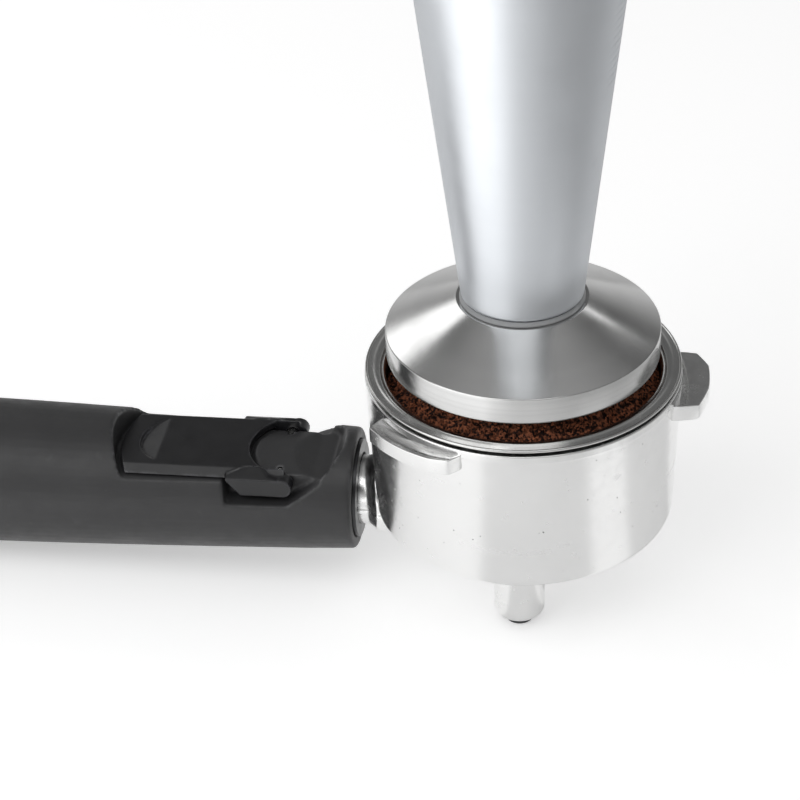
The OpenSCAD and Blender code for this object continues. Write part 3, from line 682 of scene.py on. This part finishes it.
def add_lug(mesh, s, corners, outer, shift=0):
    """A locking lug that climbs along its length, and whose root lies inside the wall.
    Close stations on both sides of a corner keep the corner crisp."""
    root, low, edge = s.cup_rim - 0.5 * s.cup_wall, -s.rim_band - s.lug_thick, s.lug_edge
    first, last = corners[0][0], corners[-1][0]
    plan = []
    for (a, inset), (b, next_inset) in zip(corners, corners[1:]):
        steps = max(1, ceil((b - a) / LUG_STEP))
        plan += [(a + (b - a) * t, outer - (inset + (next_inset - inset) * t) * MM)
                 for t in (CORNER_SHARE, *(k / steps for k in range(1, steps)), 1 - CORNER_SHARE)]
    rows = []
    for degrees, r in plan:
        high = low + s.lug_thick + s.lug_ramp * (degrees - first) / (last - first)
        under = high - s.lug_thick
        rows.append([mesh.verts.new(polar(d, radians(degrees + shift), z)) for d, z in (
            (root, high), (r - edge, high), (r - 0.3 * edge, high - 0.3 * edge), (r, high - edge),
            (r, under + edge), (r - edge, under), (root, under))])
    mesh.faces.new(rows[0])
    mesh.faces.new(rows[-1][::-1])
    for here, there in zip(rows, rows[1:]):
        for k in range(len(here)):
            n = (k + 1) % len(here)
            face = mesh.faces.new([here[k], there[k], there[n], here[n]])
            face.material_index = 1 if k == 0 else 2


def add_neck(mesh, sizes, low_z):
    """The neck with its flare on the cup, its moulding seam and its rib under the cup."""
    seam_at, seam_soft, seam_tall, upper_step = -0.12, 0.05, 0.22 * MM, 0.35 * MM
    flare_from, flare, flare_reach, flare_power = 20 * MM, 1.5 * MM, 2.4 * MM, 2.2
    overlap, rib_margin = 0.1 * MM, 1.1 * MM
    rings = []
    for station in NECK_STATIONS:
        along = min(station * MM, sizes.neck_reach + overlap)
        ring = []
        for k in range(SMALL_STEPS):
            a = TURN * k / SMALL_STEPS
            r = sizes.neck - (0.0 if sin(a) < seam_at else upper_step)
            r += seam_tall * exp(-((sin(a) - seam_at) / seam_soft) ** 2)
            gap = hypot(along, r * cos(a)) - sizes.cup_foot - overlap
            if along > flare_from:
                r += flare * max(0.0, 1 - max(gap, 0.0) / flare_reach) ** flare_power
            y, z = r * cos(a), r * sin(a) - sizes.neck_drop
            if hypot(along, y) < sizes.cup_rim - sizes.cup_wall + rib_margin:
                z = min(z, low_z)
            ring.append(mesh.verts.new((-along, y, z)))
        rings.append(ring)
    skin(mesh, rings)
    mesh.faces.new(rings[0])
    mesh.faces.new(rings[-1][::-1])


class FILTERHOLDER_OT_cup(bpy.types.Operator):
    """Build the cast cup with its lugs, neck and tang"""
    bl_idname = "filter_holder.cup"
    bl_label = "Cup"

    def execute(self, context):
        s = context.scene.holder_sizes
        low, hub_low, band = -s.cup_height, SPOUT_HIGH.z + 0.8 * MM, -s.rim_band
        inside, floor_z = s.cup_rim - s.cup_wall, s.cup_floor - s.cup_height
        groove = arc((inside, -s.spring_drop), (s.spring_groove, s.spring_groove), range(-90, 91, 20))
        mesh = bmesh.new()
        add_turned(mesh, [
            (s.screw, floor_z, 0.2 * MM), (inside, floor_z, 1.2 * MM), *groove, (inside, 0, 0.3 * MM),
            (s.cup_rim, 0, 0.25 * MM), (s.cup_rim, band + 0.5 * MM, 0.05 * MM),
            (s.cup_rim - 0.06 * MM, band + 0.3 * MM, 0.05 * MM), (s.cup_rim - 0.08 * MM, band, 0.1 * MM),
            (s.cup_foot, low, s.foot_round), (s.hub, low, 1.4 * MM), (s.hub, hub_low, 0.5 * MM),
            (s.screw, hub_low, 0.2 * MM)], closed=True)
        add_neck(mesh, s, floor_z - 1.2 * MM)
        self.add_tang(mesh, s)
        add_lug(mesh, s, FRONT_LUG, s.lug_front)
        add_lug(mesh, s, SIDE_LUG, s.lug_side)
        add_lug(mesh, s, SIDE_LUG, s.lug_side, TWIN_TURN)
        cup = make_piece("cup_casting", mesh, ["cast_polished", "cast_machined", "cast_sawn"], "holder",
                         ["holder_body"])
        flat = cup.modifiers.new("Flat faces", "WEIGHTED_NORMAL")
        flat.weight = 80
        return {"FINISHED"}

    def add_tang(self, mesh, s):
        """The bored tang that goes into the grip."""
        start, end = s.neck_reach - 1 * MM, -CUP_LOW.x
        handle = Matrix.Translation((0, 0, -s.neck_drop)) @ Matrix.Rotation(-pi / 2, 4, "Y")
        add_turned(mesh, [(0, start, 0), (s.tang, start, 0), (s.tang, end, 0.4 * MM),
                          (s.tang_bore, end, 0.2 * MM), (s.tang_bore, end - s.tang_depth, 0),
                          (0, end - s.tang_depth, 0)], place=handle, steps=BORE_STEPS)


class FILTERHOLDER_OT_spout(bpy.types.Operator):
    """Build the twin spout with its bar, outlets and collar"""
    bl_idname = "filter_holder.spout"
    bl_label = "Twin spout"

    def execute(self, context):
        s = context.scene.holder_sizes
        low, high = SPOUT_LOW.z, SPOUT_HIGH.z
        bar_high = high - 1.6 * MM
        collar_low = bar_high - 0.4 * MM
        mesh = bmesh.new()
        for side in (-1, 1):
            add_turned(mesh, [(0, bar_high, 0), (s.outlet, bar_high, 0.9 * MM),
                              (s.outlet, low, 1.3 * MM), (0, low, 0)],
                       place=Matrix.Translation((0, side * s.outlet_off, 0)), steps=SMALL_STEPS)
        add_turned(mesh, [(0, high, 0), (s.collar, high, 0.3 * MM), (s.collar, collar_low, 0.3 * MM),
                          (0, collar_low, 0)], steps=SMALL_STEPS)
        half = s.outlet - 0.25 * MM
        outline = [(-half, -s.outlet_off), (half, -s.outlet_off), (half, s.outlet_off),
                   (-half, s.outlet_off)]
        add_slab(mesh, outline, bar_high - s.bar, bar_high, 0.6 * MM)
        piece = moulded("spout_casting", mesh_data("spout_form", mesh), 0.22 * MM, 5)
        self.cut_holes(piece, s, low, high)
        settle(piece, ["spout_cast"], "holder", ["spout_block"])
        return {"FINISHED"}

    def cut_holes(self, piece, s, low, high):
        """Drills the bores of the liners and of the hollow screw."""
        over = 1 * MM
        drills = bmesh.new()
        for at, radius, top, bottom in ((s.outlet_off, s.liner, low + s.liner_depth, low - over),
                                        (-s.outlet_off, s.liner, low + s.liner_depth, low - over),
                                        (0, s.screw, high + over, high - s.screw_depth)):
            add_lathe(drills, [(0, bottom), (radius, bottom), (radius, top), (0, top)],
                      place=Matrix.Translation((0, at, 0)), steps=BORE_STEPS)
        tool = add_object("drills", mesh_data("drills", drills))
        cut = piece.modifiers.new("Bores", "BOOLEAN")
        cut.object, cut.operation, cut.solver = tool, "DIFFERENCE", "EXACT"
        apply_modifiers(piece)
        bpy.data.objects.remove(tool)


class FILTERHOLDER_OT_basket(bpy.types.Operator):
    """Build the filter basket with its rolled flange"""
    bl_idname = "filter_holder.basket"
    bl_label = "Filter basket"

    def execute(self, context):
        s = context.scene.tamper_sizes
        low, deep, out = BASKET_LOW.z, BASKET_LOW.z + s.sheet, s.basket + s.sheet
        crest, rim = BASKET_HIGH.z, BASKET_HIGH.x
        lip, bead_wide, bead_tall = 0.1 * MM, 0.28 * MM, 0.30 * MM
        over = arc((s.crest_at, lip), (s.basket - s.crest_at, crest - lip), range(0, 91, 9))
        slope = [(s.crest_at + d * MM, crest - fall * MM, 0)
                 for d, fall in ((0.12, 0.01), (0.3, 0.05), (0.5, 0.11), (0.75, 0.17), (1.0, 0.2))]
        bead = arc((rim - bead_wide, crest - 0.46 * MM), (bead_wide, bead_tall), range(150, -91, -20))
        mesh = bmesh.new()
        add_turned(mesh, [(0, deep, 0), (s.basket, deep, 0.9 * MM), *over, *slope,
                          (rim - 0.62 * MM, crest - 0.30 * MM, 0), *bead, (out, 0, 0.2 * MM),
                          (out, low, 0.9 * MM), (0, low, 0)])
        make_piece("filter_basket_bowl", mesh, ["sheet_steel"], "holder",
                   ["filter_basket"])
        return {"FINISHED"}


# Coffee

GRAINS = 8200
LOOSE_GRAINS = 7400
GRAIN_SEED = 7


class FILTERHOLDER_OT_coffee(bpy.types.Operator):
    """Build the heaped grounds with loose grains"""
    bl_idname = "filter_holder.coffee"
    bl_label = "Ground coffee"

    def execute(self, context):
        s = context.scene.tamper_sizes
        edge, top, foot, low = BED_HIGH.x, HEAP_HIGH.z - 0.05 * MM, HEAP_LOW.z, BED_LOW.z
        rings, steps = 84, 360

        def height(r):
            share = min(1.0, max(0.0, (edge - r) / (edge - s.heap_top)))
            return foot + (top - foot) * (1 - cos(pi * (0.15 + 0.85 * share))) / 2

        mesh = bmesh.new()
        rows = [[mesh.verts.new((0, 0, top))]]
        for i in range(1, rings + 1):
            r = edge * (i / rings) ** 0.75
            slope = min(1.0, max(0.0, (r - s.heap_top) / (2 * MM)))
            row = []
            for k in range(steps):
                p = polar(r, TURN * k / steps, height(r))
                lump = noise.noise(p * 900) * 0.22 * MM + noise.noise(p * 260) * 0.35 * MM
                p.z = min(p.z + lump * (0.25 + 0.75 * slope) - 0.25 * MM * (1 - slope), top)
                row.append(mesh.verts.new(p))
            rows.append(row)
        for z in (foot - 1 * MM, 0.5 * (foot + low), low):
            rows.append([mesh.verts.new(polar(edge, TURN * k / steps, z)) for k in range(steps)])
        rows.append([mesh.verts.new((0, 0, low))])
        skin(mesh, rows)
        bmesh.ops.recalc_face_normals(mesh, faces=mesh.faces)
        scatter_grains(mesh, s, edge, top, height)
        piece = make_piece("coffee_grounds", mesh, ["ground_coffee"], None,
                           ["coffee_bed", "coffee_heap"], smooth=False)
        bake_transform(piece)
        return {"FINISHED"}


def scatter_grains(mesh, s, edge, top, height):
    """Loose grains on the slope, and smaller ones pressed flat under the tamper."""
    pick = random.Random(GRAIN_SEED)
    form = bmesh.new()
    bmesh.ops.create_icosphere(form, subdivisions=1, radius=1.0)
    points = [v.co.copy() for v in form.verts]
    faces = [[v.index for v in f.verts] for f in form.faces]
    form.free()
    for n in range(GRAINS):
        loose = n < LOOSE_GRAINS
        low_r = s.heap_top if loose else 0.0
        r = sqrt(pick.uniform(low_r ** 2, (edge - 0.3 * MM) ** 2))
        a = pick.uniform(0, TURN)
        size = s.grain * pick.uniform(0.45, 1.15) * (1.0 if loose else 0.6)
        turn = Matrix.Rotation(pick.uniform(0, TURN), 3,
                               Vector([pick.uniform(-1, 1) for _ in range(3)]).normalized())
        shape = Vector((1.0, pick.uniform(0.6, 1.0), pick.uniform(0.45, 0.9)))
        centre = polar(r, a, height(r) + 0.1 * size)
        corners = []
        for p in points:
            q = centre + turn @ (p * shape * size * pick.uniform(0.8, 1.15))
            q.z = min(q.z, top)
            out = hypot(q.x, q.y)
            if out > edge:
                q.x, q.y = q.x * edge / out, q.y * edge / out
            corners.append(mesh.verts.new(q))
        for f in faces:
            mesh.faces.new([corners[i] for i in f])


# Handle and small parts

class FILTERHOLDER_OT_grip(bpy.types.Operator):
    """Build the moulded grip and finish its cap, bolt and ferrule"""
    bl_idname = "filter_holder.grip"
    bl_label = "Grip"

    def execute(self, context):
        grip = moulded("grip_moulding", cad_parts["handle_grip"].data, 0.34 * MM, 6)
        settle(grip, ["grip_black"], "holder", ["handle_grip"])
        finish_nodes("cap_black", "grip_plastic", handle_end_cap=0.25)
        finish_nodes("ferrule_dark", "fastener_steel", neck_ferrule=0.15)
        finish_nodes("fastener", "fastener_steel", handle_bolt=0.2, bolt_washer=0.15)
        return {"FINISHED"}


class FILTERHOLDER_OT_retainer(bpy.types.Operator):
    """Build the flip-over basket retainer and finish its pin"""
    bl_idname = "filter_holder.retainer"
    bl_label = "Basket retainer"

    def execute(self, context):
        lever = moulded("retainer_lever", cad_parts["basket_retainer"].data, 0.16 * MM, 12)
        settle(lever, ["lever_black"], "retainer", ["basket_retainer"])
        finish_nodes("fastener", "fastener_steel", retainer_pin=0.2)
        return {"FINISHED"}


class FILTERHOLDER_OT_small_parts(bpy.types.Operator):
    """Finish the gasket, liners, screw, spring and outer shell"""
    bl_idname = "filter_holder.small_parts"
    bl_label = "Small parts"

    def execute(self, context):
        finish_nodes("rubber", "seal_rubber", spout_gasket=0.15)
        finish_nodes("liner_black", "liner_plastic", outlet_liner_left=0.2, outlet_liner_right=0.2)
        finish_nodes("fastener", "fastener_steel", spout_screw=0.25, basket_spring=0.1)
        finish_nodes("sheet_steel", "basket_steel", basket_outer_shell=0.12)
        return {"FINISHED"}


# Tamper

GROOVE_SHARES = (0.0, 0.24, 0.36, 0.43, 0.5, 0.57, 0.64, 0.76)


def knob_radius(s, at):
    """Radius of the tamper handle: a straight flare that eases off to the widest place."""
    slope = (s.knob_mid - s.knob_foot) / s.knob_mid_at
    if at < s.knob_mid_at:
        return s.knob_foot + slope * at
    past = at - s.knob_mid_at
    return s.knob_mid + slope * past - slope * past ** 2 / (2 * (s.knob_full_at - s.knob_mid_at))


class FILTERHOLDER_OT_tamper(bpy.types.Operator):
    """Build the tamper base, its washer and its ribbed handle"""
    bl_idname = "filter_holder.tamper"
    bl_label = "Tamper"

    def execute(self, context):
        s = context.scene.tamper_sizes
        low, high, hole, end = BASE_LOW.z, BASE_HIGH.z, s.stud_hole, STUD_LOW.z - 0.3 * MM
        mesh = bmesh.new()
        add_turned(mesh, [
            (0, low, 0), (s.base, low, 0.5 * MM), (s.base, low + s.band, s.edge),
            (s.cone_top, high, 0.2 * MM), (hole, high, 0.3 * MM), (hole, end, 0), (0, end, 0)])
        make_piece("tamper_base_turned", mesh, ["turned_steel"], "tamper",
                   ["tamper_base"])
        mesh = bmesh.new()
        low, high, ring = RING_LOW.z, RING_HIGH.z, RING_HIGH.x
        add_turned(mesh, [(s.washer_hole, low, 0.1 * MM), (ring, low, 0.25 * MM),
                          (ring, high - 0.42 * MM, 0.1 * MM), (ring - 0.5 * MM, high, 0.1 * MM),
                          (s.washer_hole, high, 0.1 * MM)], closed=True)
        make_piece("tamper_washer", mesh, ["washer_satin"], "tamper",
                   ["tamper_foot_ring"])
        self.build_handle(s)
        finish_nodes("fastener", "fastener_steel", tamper_stud=0.3)
        return {"FINISHED"}

    def build_handle(self, s):
        """The handle, whose ribs show on its two flanks only."""
        foot, tall = KNOB_LOW.z, KNOB_HIGH.z - KNOB_LOW.z
        stud = STUD_HIGH.z - foot + 0.3 * MM
        side = [(s.knob_foot + r * MM, z * MM)
                for r, z in ((-0.5, 0.0), (-0.42, 0.16), (-0.02, 0.42), (0.06, 0.7))]

        def climb(at, end, step):
            while at < end:
                side.append((knob_radius(s, at), at))
                at += step

        climb(1.5 * MM, s.groove_from, 1.5 * MM)
        for k in range(s.groove_count):
            for share in GROOVE_SHARES:
                at = s.groove_from + (k + share) * s.groove_pitch
                side.append((knob_radius(s, at), at))
        climb(s.groove_from + s.groove_count * s.groove_pitch, s.knob_full_at, 0.8 * MM)
        dome = arc((0, s.knob_full_at), (knob_radius(s, s.knob_full_at), tall - s.knob_full_at),
                   range(0, 90, 3))
        profile = [(0.0, stud), (s.stud_hole, stud), (s.stud_hole, 0.0), *side,
                   *(p[:2] for p in dome), (0.0, tall)]
        mesh = bmesh.new()
        add_lathe(mesh, brace([Vector((r, foot + z)) for r, z in profile], False))
        for v in mesh.verts:
            out = v.co.xy.length
            place = (v.co.z - foot - s.groove_from) / s.groove_pitch
            if 0 < place < s.groove_count and out > s.knob_foot:
                flank = min(1.0, max(0.0, (abs(v.co.x) / out - 0.90) / 0.07))
                dip = max(0.0, 1 - abs(place % 1 - 0.5) / 0.2)
                v.co.xy *= 1 - s.groove_depth * dip * dip * (3 - 2 * dip) * flank / out
        make_piece("tamper_grip_turned", mesh, ["anodised"], "tamper_knob",
                   ["tamper_handle"])


# Studio. A lamp is its degrees aside of the camera's side and above the floor, its distance, its
# size, its setting and its share of that setting

LAMPS = (
    ("key", -55, 36, 0.8, (0.66, 0.62), "key", 1.0),
    ("rear_left", -146, 32, 0.8, (0.20, 0.30), "rear", 1.0),
    ("rear_right", 139, 40, 0.8, (0.06, 0.22), "rear", 0.8),
    ("high", 0, 58, 0.85, (0.60, 0.40), "high", 1.0),
)
LAMP_TARGET = Vector((0, 0, 0.01))
SENSOR_MM = 36.0
FLOOR_RADIUS = 4.0
WHITE = (1, 1, 1, 1)


def look_from(studio):
    """Place of the camera for the photograph's view."""
    down = Vector((0, -sin(studio.tilt), -cos(studio.tilt)))
    ahead = Vector((0, cos(studio.tilt), -sin(studio.tilt)))
    right = Vector((1, 0, 0))
    centre = Vector((-studio.aim_side, 0, 0)) + studio.aim_down * down - studio.distance * ahead
    side = right * cos(studio.roll) - down * sin(studio.roll)
    top = -(right * sin(studio.roll) + down * cos(studio.roll))
    turned = Matrix((side, top, -ahead)).transposed().to_4x4()
    return Matrix.Rotation(studio.turn, 4, "Z") @ Matrix.Translation(centre) @ turned


def floor_place():
    """Place of the floor: the outlets and the tail of the grip stand on it."""
    liner_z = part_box("outlet_liner_left")[0].z
    tail = min((v.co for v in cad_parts["handle_grip"].data.vertices),
               key=lambda co: co.z + co.x * 0.02)
    slope = atan2(tail.z - liner_z, -tail.x)
    return Matrix.Translation((0, 0, liner_z - 0.02 * MM)) @ Matrix.Rotation(slope, 4, "Y")


def add_lamp(name, aside, above, away, size, bright, turn):
    """A large soft lamp."""
    lamp = bpy.data.lights.new(name, "AREA")
    lamp.shape = "RECTANGLE"
    lamp.size, lamp.size_y = size
    lamp.energy = bright * pi * size[0] * size[1]
    rise = radians(above)
    offset = away * polar(cos(rise), turn + radians(aside - 90), sin(rise))
    holder = add_object(name, lamp)
    holder.location = LAMP_TARGET + offset
    holder.rotation_euler = (-offset).to_track_quat("-Z", "Y").to_euler()


def mirror_rays(tree, path):
    """One for rays that polished metal or glass sends, and zero for others."""
    return calc(tree, "MAXIMUM", path["Is Glossy Ray"], path["Is Transmission Ray"])


class FILTERHOLDER_OT_studio(bpy.types.Operator):
    """Set up the floor, the lights and the camera"""
    bl_idname = "filter_holder.studio"
    bl_label = "Studio"

    def execute(self, context):
        scene = context.scene
        studio = scene.studio_settings
        scene.view_settings.view_transform = "Standard"
        camera = bpy.data.cameras.new("camera")
        camera.lens, camera.sensor_width, camera.sensor_fit = studio.lens, SENSOR_MM, "HORIZONTAL"
        camera.clip_start, camera.clip_end = 0.01, 20.0
        scene.camera = add_object("camera", camera)
        scene.camera.matrix_world = look_from(studio)
        self.lay_floor(tints(context)["floor"], studio.turn)
        self.light(scene, studio)
        for name, aside, above, away, size, setting, share in LAMPS:
            add_lamp(name, aside, above, away, size, share * getattr(studio, setting), studio.turn)
        return {"FINISHED"}

    def lay_floor(self, tint, turn):
        """A pale floor. What polished metal sees of it is painted: sectors of painted shade, with less
        glow and a darker colour, and sectors of painted highlight, with more glow.
        """
        mesh = bmesh.new()
        bmesh.ops.create_circle(mesh, cap_ends=True, radius=FLOOR_RADIUS, segments=96)
        floor = add_object("floor", mesh_data("floor", mesh))
        floor.matrix_world = floor_place()
        material = bpy.data.materials.new("floor")
        material.use_nodes = True
        tree = material.node_tree
        tree.nodes.clear()
        path = put(tree, "LightPath").outputs
        mirror = mirror_rays(tree, path)
        where = put(tree, "TexCoord").outputs["Object"]
        parts = parts_of(tree, where)
        bearing = calc(tree, "ARCTAN2", parts[1], parts[0])
        away = size_of(tree, where)
        far = spread(tree, away, 0.104, 0.120)

        def sector(low, high, soft=0.05):
            a, b = (radians(v - 90) + turn for v in (low, high))
            return calc(tree, "MULTIPLY", spread(tree, bearing, a - soft, a + soft),
                        spread(tree, bearing, b - soft, b + soft, 1.0, 0.0))

        # Painted reflections: these sectors glow for mirror rays only, and the shaded ones glow less.
        shaded_reflection_sectors = calc(tree, "MAXIMUM", sector(-29, 37), sector(64, 112))
        near_glow = mixed(tree, shaded_reflection_sectors, 0.40, 0.14)
        far_glow = calc(tree, "MULTIPLY", sector(-88, -22, 0.2), 0.9)
        seen = spread(tree, away, 0.30, 0.75, 0.37, 1.0)
        glow = calc(tree, "ADD", calc(tree, "MULTIPLY", path["Is Camera Ray"], seen),
                    calc(tree, "MULTIPLY", mirror, mixed(tree, far, near_glow, far_glow)))
        # Painted shade in reflections: mirror rays see the floor's colour darker in a far sector.
        reflection_shade_mask = calc(tree, "MULTIPLY", calc(tree, "MULTIPLY", sector(20, 100, 0.3), far), mirror)
        floor_colour_with_reflection_shade = mixed(tree, reflection_shade_mask, (*tint, 1), (*scaled(tint, 0.6), 1), "RGBA")
        matt = put(tree, "BsdfDiffuse", {"Color": floor_colour_with_reflection_shade})
        light = put(tree, "Emission", {"Color": WHITE, "Strength": glow})
        both = put(tree, "AddShader", {0: matt.outputs[0], 1: light.outputs[0]})
        put(tree, "OutputMaterial", {"Surface": both.outputs[0]})
        floor.data.materials.append(material)

    def light(self, scene, studio):
        """Light from all round. The camera sees white, and polished metal sees a dark room."""
        scene.world = bpy.data.worlds.new("studio")
        scene.world.use_nodes = True
        tree = scene.world.node_tree
        tree.nodes.clear()
        path = put(tree, "LightPath").outputs
        height = parts_of(tree, put(tree, "TexCoord").outputs["Generated"])[2]
        wall = spread(tree, height, 0.0, 0.42, 0.75, studio.room)
        ceiling = spread(tree, height, 0.70, 0.94, 0.0, 0.24)
        lit = mixed(tree, mirror_rays(tree, path), studio.fill, calc(tree, "ADD", wall, ceiling))
        strength = mixed(tree, path["Is Camera Ray"], lit, 1.0)
        back = put(tree, "Background", {"Color": WHITE, "Strength": strength})
        put(tree, "OutputWorld", {"Surface": back.outputs[0]})


class FILTERHOLDER_PT_panel(bpy.types.Panel):
    """Lists the steps that build the filter holder"""
    bl_label = "Filter holder"
    bl_idname = "FILTERHOLDER_PT_panel"
    bl_space_type = "VIEW_3D"
    bl_region_type = "UI"
    bl_category = "Filter holder"

    def draw(self, context):
        for operator in OPERATORS:
            self.layout.operator(operator.bl_idname)
        for name, kind in GROUPS.items():
            box = self.layout.box()
            for setting in kind.__annotations__:
                box.prop(getattr(context.scene, name), setting)


GROUPS = {"holder_sizes": HolderSizes, "tamper_sizes": TamperSizes,
          "holder_colours": HolderColours, "studio_settings": StudioSettings}
OPERATORS = (FILTERHOLDER_OT_finishes, FILTERHOLDER_OT_studio, FILTERHOLDER_OT_cup,
             FILTERHOLDER_OT_spout, FILTERHOLDER_OT_basket, FILTERHOLDER_OT_coffee,
             FILTERHOLDER_OT_grip, FILTERHOLDER_OT_retainer, FILTERHOLDER_OT_small_parts,
             FILTERHOLDER_OT_tamper)
CLASSES = (*GROUPS.values(), *OPERATORS, FILTERHOLDER_PT_panel)


def register():
    for kind in CLASSES:
        bpy.utils.register_class(kind)
    for name, kind in GROUPS.items():
        setattr(bpy.types.Scene, name, PointerProperty(type=kind))


def unregister():
    for name in GROUPS:
        delattr(bpy.types.Scene, name)
    for kind in reversed(CLASSES):
        bpy.utils.unregister_class(kind)


def main():
    """Builds the whole scene."""
    register()
    steps = bpy.ops.filter_holder
    steps.finishes()
    steps.studio()
    steps.cup()
    steps.spout()
    steps.basket()
    steps.coffee()
    steps.grip()
    steps.retainer()
    steps.small_parts()
    steps.tamper()


if __name__ == "__main__":
    main()
